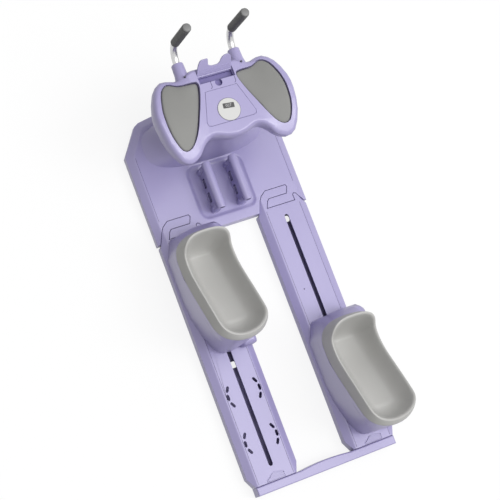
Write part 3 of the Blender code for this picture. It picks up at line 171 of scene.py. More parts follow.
def outer_edges(shape, least_deg, wanted=lambda middle, normals: True):
    """The sharp edges on the piece's outside that pass a test of their middle and their faces' normals."""
    found = []
    for edge in shape.edges:
        if not edge.is_manifold or edge.calc_face_angle() < math.radians(least_deg) or not edge.is_convex:
            continue
        middle = (edge.verts[0].co + edge.verts[1].co) / 2
        if wanted(middle, [face.normal for face in edge.link_faces]):
            found.append(edge)
    return found


def round_over(shape, edges, radius, segments, in_painted_shade=lambda middle: False):
    """Rounds edges over; strips that line a joint between two mouldings take the dark painted-shade finish,
    standing in for the shade in the joint.
    """
    made = bmesh.ops.bevel(shape, geom=edges, offset=radius, offset_type="OFFSET", segments=segments, profile=0.5,
                           affect="EDGES", clamp_overlap=False, material=-1)
    for face in made["faces"]:
        if in_painted_shade(face.calc_center_median()):
            face.material_index = 1


def deck_faces(shape):
    """The faces that lie flat in the deck's plane."""
    return [face for face in shape.faces
            if face.normal.z > 0.999 and abs(face.calc_center_median().z - DECK_Z) < 0.0001]


def engrave(shape, x, start_y, end_y, width=0.0010, depth=0.0007):
    """Presses a fine straight line into the deck, where the mould's two inserts meet; its floor and walls take the
    dark painted-shade finish, standing in for the shade in the groove.
    """
    bmesh.ops.triangulate(shape, faces=deck_faces(shape))
    for point, direction in (((x - width / 2, 0, 0), (1, 0, 0)), ((x + width / 2, 0, 0), (1, 0, 0)),
                             ((0, start_y, 0), (0, 1, 0)), ((0, end_y, 0), (0, 1, 0))):
        deck = deck_faces(shape)
        edges = list(dict.fromkeys(edge for face in deck for edge in face.edges))
        verts = list(dict.fromkeys(vert for face in deck for vert in face.verts))
        bmesh.ops.bisect_plane(shape, geom=verts + edges + deck, dist=0.000001, plane_co=point, plane_no=direction)
    line = []
    for face in deck_faces(shape):
        middle = face.calc_center_median()
        if abs(middle.x - x) < width / 2 and start_y < middle.y < end_y:
            line.append(face)
    pressed = bmesh.ops.extrude_face_region(shape, geom=line)
    sunk = [item for item in pressed["geom"] if isinstance(item, bmesh.types.BMVert)]
    bmesh.ops.translate(shape, verts=sunk, vec=(0, 0, -depth))
    for item in pressed["geom"]:
        if isinstance(item, bmesh.types.BMFace):
            item.material_index = 1
    bmesh.ops.delete(shape, geom=[face for face in line if face.is_valid], context="FACES")


def moulded(name, node_name, shape, slot, *materials):
    """Finishes a moulding that stands for its CAD piece and moves with that piece's body."""
    bmesh.ops.recalc_face_normals(shape, faces=shape.faces)
    for face in shape.faces:
        face.smooth = True
    for edge in shape.edges:
        edge.smooth = not (edge.is_manifold and edge.calc_face_angle() > math.radians(CRISP_EDGE_DEG))
    mesh = bpy.data.meshes.new(name)
    shape.to_mesh(mesh)
    shape.free()
    piece = bpy.data.objects.new(name, mesh)
    bpy.context.scene.collection.objects.link(piece)
    for material in materials:
        mesh.materials.append(material)
    even = piece.modifiers.new("even_shading", "WEIGHTED_NORMAL")
    even.keep_sharp = True
    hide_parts(node_name)
    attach(piece, parts[node_name]["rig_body"])
    return piece


def outward_top(middle, normals):
    """An edge round a shell's top: one of its faces looks upwards, and neither looks down."""
    heights = [normal.z for normal in normals]
    return middle.z > 0.020 and max(heights) > 0.2 and min(heights) > -0.1


def is_shoulder(middle, normals):
    """An edge where the flat deck breaks into its sloped shoulder."""
    heights = sorted(normal.z for normal in normals)
    return abs(middle.z - DECK_Z) < 0.0001 and heights[1] > 0.999 and 0.3 < heights[0] < 0.97


for side, x in (("left", -RAIL_X), ("right", RAIL_X)):
    rail = moulding_from(f"rail_{side}")
    round_over(rail, outer_edges(rail, 20, is_shoulder), SHOULDER_ROUND, 3)
    # Painted shade: the rounded strips where the rail meets the base and the crossbar take the dark finish,
    # standing in for the shade in those joints.
    round_over(rail, outer_edges(rail, 30, outward_top), EDGE_ROUND, 2,
               lambda middle: middle.y > BASE_REAR_Y - 0.003 or middle.y < RAIL_REAR_Y + 0.0015)
    # Painted shade: the deck lines are shallow grooves painted dark, standing in for the shade inside them.
    for line_x in (x - RAIL_LINE_X, x + RAIL_LINE_X):
        engrave(rail, line_x, RAIL_REAR_Y + LINE_START, BASE_REAR_Y - LINE_STOP)
    moulded(f"rail_shell_{side}", f"rail_{side}", rail, "lavender_plastic", shell_plastic, dark_shade_paint)
    latch = moulding_from(f"latch_{side}")
    moulded(f"latch_plate_{side}", f"latch_{side}", latch, "lavender_plastic", shell_plastic)
paint(shell_plastic, "rail_bottom_cover_left", "rail_bottom_cover_right")


# Rear crossbar. A moulded bar of the same plastic that joins the rails' rear ends;
# its top swells forward between them.
CROSSBAR_ROUND = 0.0012
crossbar = moulding_from("rear_crossbar")
round_over(crossbar, outer_edges(crossbar, 25, lambda middle, normals: middle.z > 0.03), CROSSBAR_ROUND, 3)
moulded("crossbar_shell", "rear_crossbar", crossbar, "lavender_plastic", shell_plastic)


# Base. The wide front housing with its chamfered front corners, the well for the hand grips and the
# flared pedestal that carries the console; it is closed underneath by a flat cover.
BASE_LINE_X = 0.2065
BASE_LINE_END_Y = 0.385
HOOK_INNER_X = 0.070
housing = moulding_from("base_housing")
round_over(housing, outer_edges(housing, 15, is_shoulder), SHOULDER_ROUND, 3)
# Painted shade: the rounded strips along the hook joint with the rails take the dark finish, standing in for the
# shade in the joint.
round_over(housing, outer_edges(housing, 30, outward_top), EDGE_ROUND, 2,
           lambda middle: middle.y < HOOK_FRONT_Y + 0.003 and abs(middle.x) > HOOK_INNER_X)
# Painted shade: the deck lines are shallow grooves painted dark, standing in for the shade inside them.
for line_x in (-BASE_LINE_X, BASE_LINE_X):
    engrave(housing, line_x, HOOK_FRONT_Y + LINE_START, BASE_LINE_END_Y)
moulded("base_shell", "base_housing", housing, "lavender_plastic", shell_plastic, dark_shade_paint)
paint(shell_plastic, "base_bottom_cover")


# Feet. Matt rubber pads that are pushed into the undersides of the base and the crossbar,
# so that the machine stands without sliding.
foot_rubber = textured("foot_rubber", (0.030, 0.030, 0.031), (0.050, 0.050, 0.052), 0.75, 700, 0.0001)
paint(foot_rubber, "foot_base_front_left", "foot_base_front_right", "foot_base_rear_left", "foot_base_rear_right",
      "foot_crossbar_left", "foot_crossbar_right")


# Hand grips in the well. Each is a thick windowed bracket, moulded in the shell's colour and screwed
# down from below, with a hollow bar across its top; the windows' inner walls and the bar's bore are painted dark
# as shade.
GRIP_X = 0.040
BAR_Z = 0.100
BAR_RADIUS = 0.0122
BAR_BORE = 0.0080
WINDOW_LOW_Z = 0.041
WINDOW_HIGH_Z = 0.063
WINDOW_END_GAP = 0.020
BRACKET_ROUND = 0.0009
STUD_RADIUS = 0.0046
STUD_PROUD = 0.0024
STUD_OUT_X = 0.0132
STUD_END_GAP = 0.008
STUD_Z = 0.068
BAR_END = ((BAR_BORE, 0.0008), (BAR_BORE + 0.0008, 0.0), (BAR_RADIUS - 0.0016, 0.0), (BAR_RADIUS - 0.0005, 0.0006),
           (BAR_RADIUS, 0.0018))


def stud(shape, x, y):
    """A small tapered screw cover on the side of a bracket."""
    made = bmesh.ops.create_cone(shape, cap_ends=True, segments=20, radius1=STUD_RADIUS, radius2=STUD_RADIUS * 0.8,
                                 depth=STUD_PROUD)
    bmesh.ops.rotate(shape, verts=made["verts"], cent=(0, 0, 0), matrix=Matrix.Rotation(math.radians(-90), 3, "Y"))
    bmesh.ops.translate(shape, verts=made["verts"], vec=(x, y, STUD_Z))


def closed_ring(shape, places):
    """A closed loop of vertices and edges through the given places, ready to be spun."""
    ring = [shape.verts.new(place) for place in places]
    return ring + [shape.edges.new((ring[i], ring[(i + 1) % len(ring)])) for i in range(len(ring))]


for side, x in (("left", -GRIP_X), ("right", GRIP_X)):
    low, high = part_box(f"grip_bracket_{side}")
    bracket = moulding_from(f"grip_bracket_{side}")
    round_over(bracket, outer_edges(bracket, 40, lambda middle, normals: middle.z > 0.040), BRACKET_ROUND, 2)
    # Painted shade: the windows' inner walls take the dark finish, standing in for the shade inside them.
    for face in bracket.faces:
        middle = face.calc_center_median()
        inside = WINDOW_LOW_Z - 0.001 < middle.z < WINDOW_HIGH_Z + 0.001 and abs(face.normal.x) < 0.2
        if inside and low.y + WINDOW_END_GAP < middle.y < high.y - WINDOW_END_GAP:
            face.material_index = 1
    for y in (low.y + STUD_END_GAP, high.y - STUD_END_GAP):
        stud(bracket, x - STUD_OUT_X, y)
    moulded(f"bracket_{side}", f"grip_bracket_{side}", bracket, "lavender_plastic", shell_plastic, dark_shade_paint)

    low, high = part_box(f"grip_bar_{side}")
    bar = bmesh.new()
    profile = [(x, low.y + inset, BAR_Z + radius) for radius, inset in BAR_END]
    profile += [(x, high.y - inset, BAR_Z + radius) for radius, inset in reversed(BAR_END)]
    bmesh.ops.spin(bar, geom=closed_ring(bar, profile), cent=(x, 0, BAR_Z), axis=(0, 1, 0),
                   angle=math.radians(360), steps=48, use_merge=True)
    bmesh.ops.remove_doubles(bar, verts=bar.verts, dist=0.000001)
    # Painted shade: the bore's walls take the dark finish, standing in for the shade inside the tube.
    for face in bar.faces:
        middle = face.calc_center_median()
        if math.hypot(middle.x - x, middle.z - BAR_Z) < BAR_BORE + 0.0001:
            face.material_index = 1
    moulded(f"bar_{side}", f"grip_bar_{side}", bar, "lavender_plastic", shell_plastic, dark_shade_paint)


# Console. The butterfly-shaped upper shell with its pad pockets and handle sockets, its underside,
# and the loose panel that frames the counter. A flap in front of the panel is outlined by two thin dark ribbons,
# painted shade for fine grooves.
SEAM_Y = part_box("rear_crossbar")[1].y - 0.0047
CONSOLE_TOP_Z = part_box("counter_panel")[1].z
NOTCH_Y = 1.024 + SEAM_Y
NOTCH_RADIUS = 0.010
TROUGH_HALF_WIDTH = 0.0495
TROUGH_REAR_Y = 1.0335 + SEAM_Y
TROUGH_FRONT_Y = 1.0505 + SEAM_Y
TROUGH_LOW_Z = 0.290
POCKET_ROUND = 0.0006
PANEL_ROUND = 0.0004


def is_pocket_edge(middle, normals):
    """A crisp edge in the console's top, such as a pocket's or the trough's."""
    return middle.z > 0.300 and max(normal.z for normal in normals) > 0.7


console = moulding_from("console_shell")
round_over(console, outer_edges(console, 55, is_pocket_edge), POCKET_ROUND, 2)
# Painted shade: a dark violet for the floors of the finger notch and the trough under the flap, and for the strips
# round the panel, where shade falls.
console_shade_paint = textured("console_painted_shade", (0.150, 0.126, 0.310), (0.170, 0.145, 0.340), 0.45, 900, 0.00006)
# Painted shade: the notch's and the trough's floor faces take the dark finish, standing in for the shade in them.
for face in console.faces:
    middle = face.calc_center_median()
    in_notch = math.hypot(middle.x, middle.y - NOTCH_Y) < NOTCH_RADIUS + 0.0002
    in_trough = abs(middle.x) < TROUGH_HALF_WIDTH and TROUGH_REAR_Y < middle.y < TROUGH_FRONT_Y
    if TROUGH_LOW_Z < middle.z < CONSOLE_TOP_Z - 0.0012 and (in_notch or in_trough):
        face.material_index = 1
moulded("console_cover", "console_shell", console, "lavender_plastic", shell_plastic, console_shade_paint)
panel = moulding_from("counter_panel")
panel_rim = outer_edges(panel, 40, lambda middle, normals: middle.z > CONSOLE_TOP_Z - 0.0005)
# Painted shade: every rounded strip round the panel's rim takes the dark finish, standing in for the shade in the
# gaps round the panel and the disc.
round_over(panel, panel_rim, PANEL_ROUND, 2, lambda middle: True)
moulded("panel_plate", "counter_panel", panel, "lavender_plastic", shell_plastic, console_shade_paint)
paint(shell_plastic, "console_underside")


GROOVE_WIDTH = 0.0013
GROOVE_THICKNESS = 0.0002


def painted_groove_line(name, points):
    """A thin dark ribbon laid just on the console's top along a smooth path: painted shade standing in for a fine
    groove.
    """
    shape = bmesh.new()
    left = []
    right = []
    for i, (px, py) in enumerate(points):
        ax, ay = points[max(0, i - 1)]
        bx, by = points[min(len(points) - 1, i + 1)]
        along = Vector((bx - ax, by - ay, 0)).normalized()
        across = Vector((-along.y, along.x, 0)) * GROOVE_WIDTH / 2
        middle = Vector((px, py + SEAM_Y, CONSOLE_TOP_Z + 0.0001))
        left.append(shape.verts.new(middle + across))
        right.append(shape.verts.new(middle - across))
    for i in range(len(points) - 1):
        shape.faces.new((left[i], right[i], right[i + 1], left[i + 1]))
    raised = bmesh.ops.extrude_face_region(shape, geom=shape.faces[:])["geom"]
    bmesh.ops.translate(shape, verts=[item for item in raised if isinstance(item, bmesh.types.BMVert)],
                        vec=(0, 0, GROOVE_THICKNESS))
    bmesh.ops.recalc_face_normals(shape, faces=shape.faces)
    mesh = bpy.data.meshes.new(name)
    shape.to_mesh(mesh)
    shape.free()
    mesh.materials.append(dark_shade_paint)
    piece = bpy.data.objects.new(name, mesh)
    bpy.context.scene.collection.objects.link(piece)
    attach(piece, "base")


def arc_points(centre, radius, start_deg, end_deg, steps):
    """Points on an arc about a centre, between two angles."""
    found = []
    for i in range(steps + 1):
        angle = math.radians(start_deg + (end_deg - start_deg) * i / steps)
        found.append((centre[0] + radius * math.cos(angle), centre[1] + radius * math.sin(angle)))
    return found


FLAP_LEFT_X = -0.0215
FLAP_RIGHT_X = 0.0470
FLAP_FRONT_Y = 1.0335
FLAP_REAR_Y = 1.0105
HOOK_RADIUS = 0.0060
for side, x in (("left", FLAP_LEFT_X), ("right", FLAP_RIGHT_X)):
    hook = [(x, FLAP_FRONT_Y), (x, FLAP_REAR_Y + 0.0080)]
    hook += arc_points((x - HOOK_RADIUS, FLAP_REAR_Y + 0.0075), HOOK_RADIUS, 0, -80, 6)
    painted_groove_line(f"flap_painted_groove_{side}", hook)


# Elbow pads. Soft moulded foam with a fine skin, crowned a little and dropped into the console's
# pockets, with an even gap round each.
def foam_from(name, node_name, crease_deg):
    """The foam piece on its CAD solid: welded, joined into quads, with its crisp parting edge kept."""
    shape = bmesh.new()
    shape.from_mesh(parts[node_name].data)
    bmesh.ops.remove_doubles(shape, verts=shape.verts, dist=0.00001)
    bmesh.ops.join_triangles(shape, faces=shape.faces, angle_face_threshold=math.radians(30),
                             angle_shape_threshold=math.radians(60))
    crease = shape.edges.layers.float.new("crease_edge")
    for edge in shape.edges:
        if edge.is_manifold and edge.calc_face_angle() > math.radians(crease_deg):
            edge[crease] = 0.85
    for face in shape.faces:
        face.smooth = True
    mesh = bpy.data.meshes.new(name)
    shape.to_mesh(mesh)
    shape.free()
    piece = bpy.data.objects.new(name, mesh)
    bpy.context.scene.collection.objects.link(piece)
    rounding = piece.modifiers.new("rounding", "SUBSURF")
    rounding.levels = 2
    rounding.render_levels = 2
    return piece


pad_foam = textured("pad_foam", (0.200, 0.200, 0.192), (0.236, 0.236, 0.227), 0.62, 1500, 0.00008)
for side in ("left", "right"):
    pad = foam_from(f"pad_{side}", f"elbow_pad_{side}", 60)
    pad.data.materials.append(pad_foam)
    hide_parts(f"elbow_pad_{side}")
    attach(pad, "base")


# Counter. A white plastic disc held in the panel, with a small dark display window
# that shows three plain figures.
white_plastic = textured("white_plastic", (0.56, 0.56, 0.55), (0.61, 0.61, 0.60), 0.28, 1600, 0.00003)
display_window = textured("display_window", (0.072, 0.072, 0.074), (0.090, 0.090, 0.092), 0.14, 900, 0.00001)
figure_ink = textured("figure_ink", (0.42, 0.42, 0.43), (0.50, 0.50, 0.51), 0.40, 900, 0.00001)
DISC_ROUND = 0.0003


def is_disc_rim(middle, normals):
    """The edge round the white disc's upper face."""
    return middle.z > CONSOLE_TOP_Z and max(normal.z for normal in normals) > 0.9


disc = moulding_from("counter_body")
round_over(disc, outer_edges(disc, 40, is_disc_rim), DISC_ROUND, 2)
moulded("counter_disc", "counter_body", disc, "white_plastic", white_plastic)
paint(display_window, "counter_display")
FIGURE_HEIGHT = 0.0082
FIGURE_TURN_DEG = -6.5
FIGURE_LIFT = 0.00011
low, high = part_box("counter_display")
words = bpy.data.curves.new("figures", "FONT")
words.body = "027"
words.size = FIGURE_HEIGHT * 1.35
words.align_x = "CENTER"
words.align_y = "CENTER"
words.extrude = 0.0001
drawn = bpy.data.objects.new("figures_drawn", words)
bpy.context.scene.collection.objects.link(drawn)
figures_mesh = bpy.data.meshes.new_from_object(drawn.evaluated_get(bpy.context.evaluated_depsgraph_get()))
bpy.data.objects.remove(drawn)
figures_place = Matrix.Translation(((low.x + high.x) / 2, (low.y + high.y) / 2, high.z + FIGURE_LIFT))
figures_mesh.transform(figures_place @ Matrix.Rotation(math.radians(FIGURE_TURN_DEG), 4, "Z"))
figures_mesh.materials.clear()
figures_mesh.materials.append(figure_ink)
figures = bpy.data.objects.new("counter_figures", figures_mesh)
bpy.context.scene.collection.objects.link(figures)
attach(figures, "base")


# Device stand. A moulded flap with two rounded prongs and three grip ridges, which tilts on a steel pin
# across its bay at the console's front.
steel = textured("zinc_steel", (0.50, 0.50, 0.51), (0.60, 0.60, 0.61), 0.30, 1200, 0.00002)
steel.node_tree.nodes["Principled BSDF"].inputs["Metallic"].default_value = 1.0


def spun(profile, segments):
    """Spins a closed profile of (radius, height) round the upright axis."""
    shape = bmesh.new()
    ring = closed_ring(shape, [(radius, 0, height) for radius, height in profile])
    bmesh.ops.spin(shape, geom=ring, cent=(0, 0, 0), axis=(0, 0, 1), angle=math.radians(360), steps=segments,
                   use_merge=True)
    bmesh.ops.remove_doubles(shape, verts=shape.verts, dist=0.000001)
    return shape


STAND_Y = 1.054 + SEAM_Y
STAND_Z = 0.3085
STAND_OPEN_DEG = 50.0
STAND_THICKNESS = 0.0045
KNUCKLE_RADIUS = 0.0030
PIN_HOLE_RADIUS = 0.0017
STAND_HALF_WIDTH = 0.0502
STAND_ROUND = 0.0010
RIDGE_HEIGHTS = (0.0055, 0.0115, 0.0175)
RIDGE_LENGTH = 0.086
RIDGE_WIDTH = 0.0016
RIDGE_ROUND = 0.0004
LEFT_PRONG = ((-0.0502, 0.0000), (-0.0498, 0.0100), (-0.0470, 0.0260), (-0.0440, 0.0370), (-0.0400, 0.0450),
              (-0.0350, 0.0482), (-0.0185, 0.0486), (-0.0170, 0.0470), (-0.0168, 0.0310), (-0.0130, 0.0268))
NOTCH = ((-0.0060, 0.0240), (0.0030, 0.0228), (0.0110, 0.0242))
RIGHT_PRONG = ((0.0175, 0.0290), (0.0205, 0.0360), (0.0245, 0.0418), (0.0310, 0.0455), (0.0390, 0.0470),
               (0.0455, 0.0452), (0.0492, 0.0400), (0.0502, 0.0320), (0.0502, 0.0000))
plate = bmesh.new()
corners = [plate.verts.new((px, py, -STAND_THICKNESS / 2)) for px, py in LEFT_PRONG + NOTCH + RIGHT_PRONG]
face = plate.faces.new(corners)
lifted = bmesh.ops.extrude_face_region(plate, geom=[face])["geom"]
bmesh.ops.translate(plate, verts=[item for item in lifted if isinstance(item, bmesh.types.BMVert)],
                    vec=(0, 0, STAND_THICKNESS))
bmesh.ops.recalc_face_normals(plate, faces=plate.faces)
rims = [edge for edge in plate.edges if edge.calc_face_angle() > math.radians(80)]
round_over(plate, rims, STAND_ROUND, 3)
knuckle = spun(((PIN_HOLE_RADIUS, -STAND_HALF_WIDTH), (KNUCKLE_RADIUS, -STAND_HALF_WIDTH),
                (KNUCKLE_RADIUS, STAND_HALF_WIDTH), (PIN_HOLE_RADIUS, STAND_HALF_WIDTH)), 24)
bmesh.ops.rotate(knuckle, verts=knuckle.verts, cent=(0, 0, 0), matrix=Matrix.Rotation(math.radians(90), 3, "Y"))
ridges = bmesh.new()
for height in RIDGE_HEIGHTS:
    ridge = bmesh.ops.create_cube(ridges, size=1.0)
    bmesh.ops.scale(ridges, verts=ridge["verts"], vec=(RIDGE_LENGTH, RIDGE_WIDTH, RIDGE_WIDTH))
    bmesh.ops.translate(ridges, verts=ridge["verts"], vec=(0.001, height, STAND_THICKNESS / 2))
round_over(ridges, list(ridges.edges), RIDGE_ROUND, 2)
for extra in (knuckle, ridges):
    spare = bpy.data.meshes.new("stand_spare")
    extra.to_mesh(spare)
    extra.free()
    plate.from_mesh(spare)
    bpy.data.meshes.remove(spare)
stand_place = Matrix.Translation((0, STAND_Y, STAND_Z)) @ Matrix.Rotation(math.radians(STAND_OPEN_DEG), 4, "X")
bmesh.ops.transform(plate, matrix=stand_place, verts=plate.verts)
moulded("stand_flap", "device_stand", plate, "lavender_plastic", shell_plastic)
paint(steel, "stand_pin")


# Handles. Chromed steel tube bent upwards out of its socket, where a blackened screw clamps it;
# a ribbed rubber grip is pushed on, and a paler cap closes its end.
TUBE_RADIUS = 0.0095
TUBE_Z = 0.2880
TUBE_SEAT_Y = 1.053 + SEAM_Y
SOCKET_MOUTH_Y = 1.108 + SEAM_Y
TUBE_BEND = 0.044
TUBE_BEND_DEG = 94.0
GRIP_LENGTH = 0.120
GRIP_RADIUS = 0.0125
GRIP_RIBS = 26
RIB_DEPTH = 0.0007
CAP_HEIGHT = 0.006
chrome = textured("chrome", (0.58, 0.58, 0.58), (0.66, 0.66, 0.66), 0.28, 400, 0.00001)
chrome.node_tree.nodes["Principled BSDF"].inputs["Metallic"].default_value = 1.0
grip_rubber = textured("grip_rubber", (0.070, 0.070, 0.070), (0.108, 0.108, 0.108), 0.50, 900, 0.0001)
blackened_steel = textured("blackened_steel", (0.060, 0.056, 0.080), (0.080, 0.075, 0.105), 0.40, 1200, 0.00002)
cap_plastic = textured("cap_plastic", (0.155, 0.155, 0.155), (0.195, 0.195, 0.195), 0.42, 900, 0.00005)


def edges_between(made, moved):
    """The edges of an extrusion that join only its moved vertices: the new rim."""
    return [item for item in made
            if isinstance(item, bmesh.types.BMEdge) and all(vert in moved for vert in item.verts)]


def bent_tube(x):
    """The tube: straight in its socket, bent upwards, then straight inside the grip."""
    shape = bmesh.new()
    start = bmesh.ops.create_circle(shape, cap_ends=True, segments=48, radius=TUBE_RADIUS)
    bmesh.ops.rotate(shape, verts=start["verts"], cent=(0, 0, 0), matrix=Matrix.Rotation(math.radians(90), 3, "X"))
    bmesh.ops.translate(shape, verts=start["verts"], vec=(x, TUBE_SEAT_Y, TUBE_Z))
    rim = list(shape.edges)
    straight = bmesh.ops.extrude_edge_only(shape, edges=rim)["geom"]
    moved = [item for item in straight if isinstance(item, bmesh.types.BMVert)]
    bmesh.ops.translate(shape, verts=moved, vec=(0, SOCKET_MOUTH_Y - TUBE_SEAT_Y, 0))
    rim = edges_between(straight, moved)
    bent = bmesh.ops.spin(shape, geom=moved + rim, cent=(x, SOCKET_MOUTH_Y, TUBE_Z + TUBE_BEND), axis=(1, 0, 0),
                          angle=math.radians(TUBE_BEND_DEG), steps=28)["geom_last"]
    rim = [item for item in bent if isinstance(item, bmesh.types.BMEdge)]
    last = bmesh.ops.extrude_edge_only(shape, edges=rim)["geom"]
    moved = [item for item in last if isinstance(item, bmesh.types.BMVert)]
    along = Vector((0, math.cos(math.radians(TUBE_BEND_DEG)), math.sin(math.radians(TUBE_BEND_DEG))))
    bmesh.ops.translate(shape, verts=moved, vec=along * (GRIP_LENGTH - 0.002))
    rim = edges_between(last, moved)
    bmesh.ops.edgeloop_fill(shape, edges=rim)
    bmesh.ops.remove_doubles(shape, verts=shape.verts, dist=0.000001)
    return shape


def on_handle(shape, x):
    """Sets a shape made upright at the origin on the end of a handle's bend."""
    lean = math.radians(TUBE_BEND_DEG)
    rise = TUBE_BEND * (1 - math.cos(lean))
    grip_start = Vector((x, SOCKET_MOUTH_Y + TUBE_BEND * math.sin(lean), TUBE_Z + rise))
    turn = Matrix.Rotation(lean - math.radians(90), 4, "X")
    bmesh.ops.transform(shape, matrix=Matrix.Translation(grip_start) @ turn, verts=shape.verts)


for side in ("left", "right"):
    x = (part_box(f"handle_tube_{side}")[0].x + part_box(f"handle_tube_{side}")[1].x) / 2
    moulded(f"tube_{side}", f"handle_tube_{side}", bent_tube(x), "chrome", chrome)
    pitch = GRIP_LENGTH / GRIP_RIBS
    profile = [(TUBE_RADIUS + 0.0003, 0.0), (GRIP_RADIUS - RIB_DEPTH - 0.0008, 0.0)]
    for i in range(GRIP_RIBS):
        profile += [(GRIP_RADIUS - RIB_DEPTH, pitch * (i + 0.10)), (GRIP_RADIUS, pitch * (i + 0.35)),
                    (GRIP_RADIUS, pitch * (i + 0.65)), (GRIP_RADIUS - RIB_DEPTH, pitch * (i + 0.90))]
    profile += [(GRIP_RADIUS - RIB_DEPTH - 0.0008, GRIP_LENGTH), (TUBE_RADIUS + 0.0003, GRIP_LENGTH)]
    grip = spun(profile, 48)
    on_handle(grip, x)
    moulded(f"ribbed_grip_{side}", f"grip_{side}", grip, "grip_rubber", grip_rubber)
    cap = spun(((0.00001, GRIP_LENGTH + 0.0003), (GRIP_RADIUS - 0.0015, GRIP_LENGTH + 0.0003),
                (GRIP_RADIUS - 0.0010, GRIP_LENGTH + 0.0022), (GRIP_RADIUS - 0.0016, GRIP_LENGTH + 0.0042),
                (GRIP_RADIUS - 0.0032, GRIP_LENGTH + CAP_HEIGHT - 0.0006), (0.0040, GRIP_LENGTH + CAP_HEIGHT),
                (0.00001, GRIP_LENGTH + CAP_HEIGHT)), 48)
    on_handle(cap, x)
    moulded(f"end_cap_{side}", f"grip_cap_{side}", cap, "grip_cap", cap_plastic)
paint(blackened_steel, "socket_screw_left", "socket_screw_right")


# Knee carriages. Tall mouldings of the shells' plastic that ride on the rails, each held down by
# its trolley through the slot; their open tops hold the knee cups.
CARRIAGE_ROUND = 0.0009


def is_upper_edge(middle, normals):
    """A crisp edge of a carriage that none of its undersides touches."""
    return min(normal.z for normal in normals) > -0.3


for side in ("left", "right"):
    carriage = moulding_from(f"knee_carriage_{side}")
    round_over(carriage, outer_edges(carriage, 45, is_upper_edge), CARRIAGE_ROUND, 2)
    moulded(f"carriage_shell_{side}", f"knee_carriage_{side}", carriage, "lavender_plastic", shell_plastic)


# Knee cups. Deep scoops of skinned foam, paler than the pads, pressed into the carriages
# with their rim rolled over the carriage's edge.
cup_foam = textured("cup_foam", (0.420, 0.417, 0.405), (0.465, 0.462, 0.449), 0.58, 1300, 0.0001)
for side in ("left", "right"):
    cup = foam_from(f"cup_{side}", f"knee_cup_{side}", 60)
    cup.data.materials.append(cup_foam)
    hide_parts(f"knee_cup_{side}")
    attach(cup, f"carriage_{side}")


# Trolleys. Dark glass-filled nylon frames inside the rails, screwed to the carriages from below,
# with steel axles and rubber-tyred wheels.
trolley_nylon = textured("trolley_nylon", (0.030, 0.020, 0.110), (0.042, 0.030, 0.140), 0.55, 900, 0.0001)
wheel_tyre = textured("wheel_tyre", (0.030, 0.030, 0.031), (0.050, 0.050, 0.052), 0.70, 800, 0.0001)
for side in ("left", "right"):
    paint(trolley_nylon, f"trolley_{side}")
    for end in ("front", "rear"):
        paint(steel, f"axle_{side}_{end}")
        paint(wheel_tyre, f"wheel_{side}_{end}_inner", f"wheel_{side}_{end}_outer")


# Studio. A plain white floor, a soft key lamp from the right and a wide one overhead, under a sky that is
# weakest at the left; the camera looks down from high up, as in the photograph.
FLOOR_HALF_SIZE = 6.0
FLOOR_GLOW_SHARE = 0.85
FLOOR_TONE_SEEN = 0.86
FLOOR_TONE_BOUNCED = 0.45
SKY_STRONGEST_FROM = (0.50, -0.10, 0.86)
SKY_WEAK_UP_TO = -0.2
SKY_WEAK = 0.18
SKY_STRONG = 0.84
SUN_STRENGTH = 0.85
SUN_SPREAD_DEG = 24
SUN_DIRECTION = Vector((-0.55, 0.30, -0.78))
OVERHEAD_WATTS = 115
OVERHEAD_WIDTH = 4.0
OVERHEAD_PLACE = Vector((0.50, -0.60, 5.0))
OVERHEAD_AIM = Vector((0, 0, 0.1))
CAMERA_PLACE = Vector((-1.28579, 0.08148 + SEAM_Y, 3.66492))
CAMERA_RIGHT = Vector((0.896, -0.353, 0.269))
CAMERA_AHEAD = Vector((0.334, 0.137, -0.932))
LENS_MM = 100.8
SENSOR_MM = 36.0


def seen_directly(nodes, link):
    """One for what the camera sees, in a reflection or through glass too, and zero for the light that falls."""
    ray = nodes.new("ShaderNodeLightPath")
    seen = ray.outputs["Is Camera Ray"]
    for kind in ("Is Glossy Ray", "Is Transmission Ray"):
        either = nodes.new("ShaderNodeMath")
        either.operation = "MAXIMUM"
        link(seen, either.inputs[0])
        link(ray.outputs[kind], either.inputs[1])
        seen = either.outputs[0]
    return seen


def floor_material():
    """White to the camera and in reflections, with a share of real floor left to catch the shadow."""
    made = bpy.data.materials.new("studio_floor")
    made.use_nodes = True
    nodes = made.node_tree.nodes
    link = made.node_tree.links.new
    shader = nodes["Principled BSDF"]
    shader.inputs["Roughness"].default_value = 0.9
    glow = nodes.new("ShaderNodeEmission")
    seen = seen_directly(nodes, link)
    tone = nodes.new("ShaderNodeMapRange")
    tone.inputs["To Min"].default_value = FLOOR_TONE_BOUNCED
    tone.inputs["To Max"].default_value = FLOOR_TONE_SEEN
    link(seen, tone.inputs["Value"])
    link(tone.outputs["Result"], shader.inputs["Base Color"])
    share = nodes.new("ShaderNodeMath")
    share.operation = "MULTIPLY"
    share.inputs[1].default_value = FLOOR_GLOW_SHARE
    link(seen, share.inputs[0])
    blend = nodes.new("ShaderNodeMixShader")
    link(share.outputs[0], blend.inputs["Fac"])
    link(shader.outputs["BSDF"], blend.inputs[1])
    link(glow.outputs["Emission"], blend.inputs[2])
    link(blend.outputs["Shader"], nodes["Material Output"].inputs["Surface"])
    return made


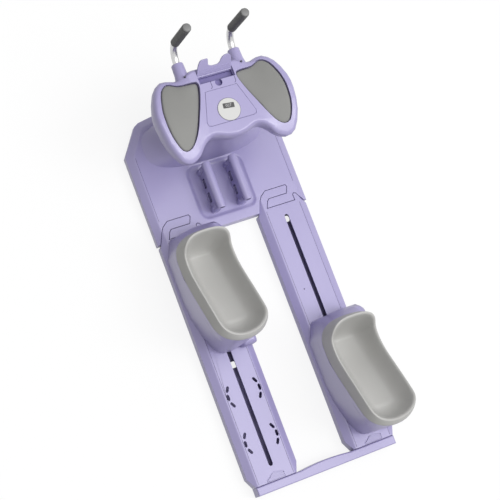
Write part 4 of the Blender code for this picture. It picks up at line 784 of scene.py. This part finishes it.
def studio_world():
    """White light, strongest from above on the right; the camera, reflections and glass see it as plain white."""
    world = bpy.data.worlds.new("studio")
    bpy.context.scene.world = world
    world.use_nodes = True
    nodes = world.node_tree.nodes
    link = world.node_tree.links.new
    direction = nodes.new("ShaderNodeTexCoord")
    height = nodes.new("ShaderNodeVectorMath")
    height.operation = "DOT_PRODUCT"
    height.inputs[1].default_value = SKY_STRONGEST_FROM
    link(direction.outputs["Generated"], height.inputs[0])
    sky = nodes.new("ShaderNodeMapRange")
    sky.inputs["From Min"].default_value = SKY_WEAK_UP_TO
    sky.inputs["To Min"].default_value = SKY_WEAK
    sky.inputs["To Max"].default_value = SKY_STRONG
    link(height.outputs["Value"], sky.inputs["Value"])
    strength = nodes.new("ShaderNodeMapRange")
    link(sky.outputs["Result"], strength.inputs["To Min"])
    strength.inputs["To Max"].default_value = 1.0
    link(seen_directly(nodes, link), strength.inputs["Value"])
    background = nodes["Background"]
    background.inputs["Color"].default_value = (1, 1, 1, 1)
    link(strength.outputs["Result"], background.inputs["Strength"])


floor_shape = bmesh.new()
bmesh.ops.create_grid(floor_shape, x_segments=1, y_segments=1, size=FLOOR_HALF_SIZE)
floor_mesh = bpy.data.meshes.new("studio_floor")
floor_shape.to_mesh(floor_mesh)
floor_shape.free()
floor = bpy.data.objects.new("studio_floor", floor_mesh)
floor.data.materials.append(floor_material())
bpy.context.scene.collection.objects.link(floor)
studio_world()

sun = bpy.data.lights.new("key", "SUN")
sun.energy = SUN_STRENGTH
sun.angle = math.radians(SUN_SPREAD_DEG)
sun_lamp = bpy.data.objects.new("key", sun)
sun_lamp.rotation_euler = SUN_DIRECTION.to_track_quat("-Z", "Y").to_euler()
bpy.context.scene.collection.objects.link(sun_lamp)
overhead = bpy.data.lights.new("overhead", "AREA")
overhead.shape = "DISK"
overhead.size = OVERHEAD_WIDTH
overhead.energy = OVERHEAD_WATTS
overhead_lamp = bpy.data.objects.new("overhead", overhead)
overhead_lamp.location = OVERHEAD_PLACE
overhead_lamp.rotation_euler = (OVERHEAD_AIM - OVERHEAD_PLACE).to_track_quat("-Z", "Y").to_euler()
bpy.context.scene.collection.objects.link(overhead_lamp)

ahead = CAMERA_AHEAD.normalized()
down = ahead.cross(CAMERA_RIGHT.normalized()).normalized()
right = down.cross(ahead).normalized()
lens = bpy.data.cameras.new("camera")
lens.lens = LENS_MM
lens.sensor_width = SENSOR_MM
camera = bpy.data.objects.new("camera", lens)
turn = Matrix((right, -down, -ahead)).transposed().to_4x4()
camera.matrix_world = Matrix.Translation(CAMERA_PLACE) @ turn
bpy.context.scene.collection.objects.link(camera)
bpy.context.scene.camera = camera
bpy.context.scene.view_settings.view_transform = "Standard"
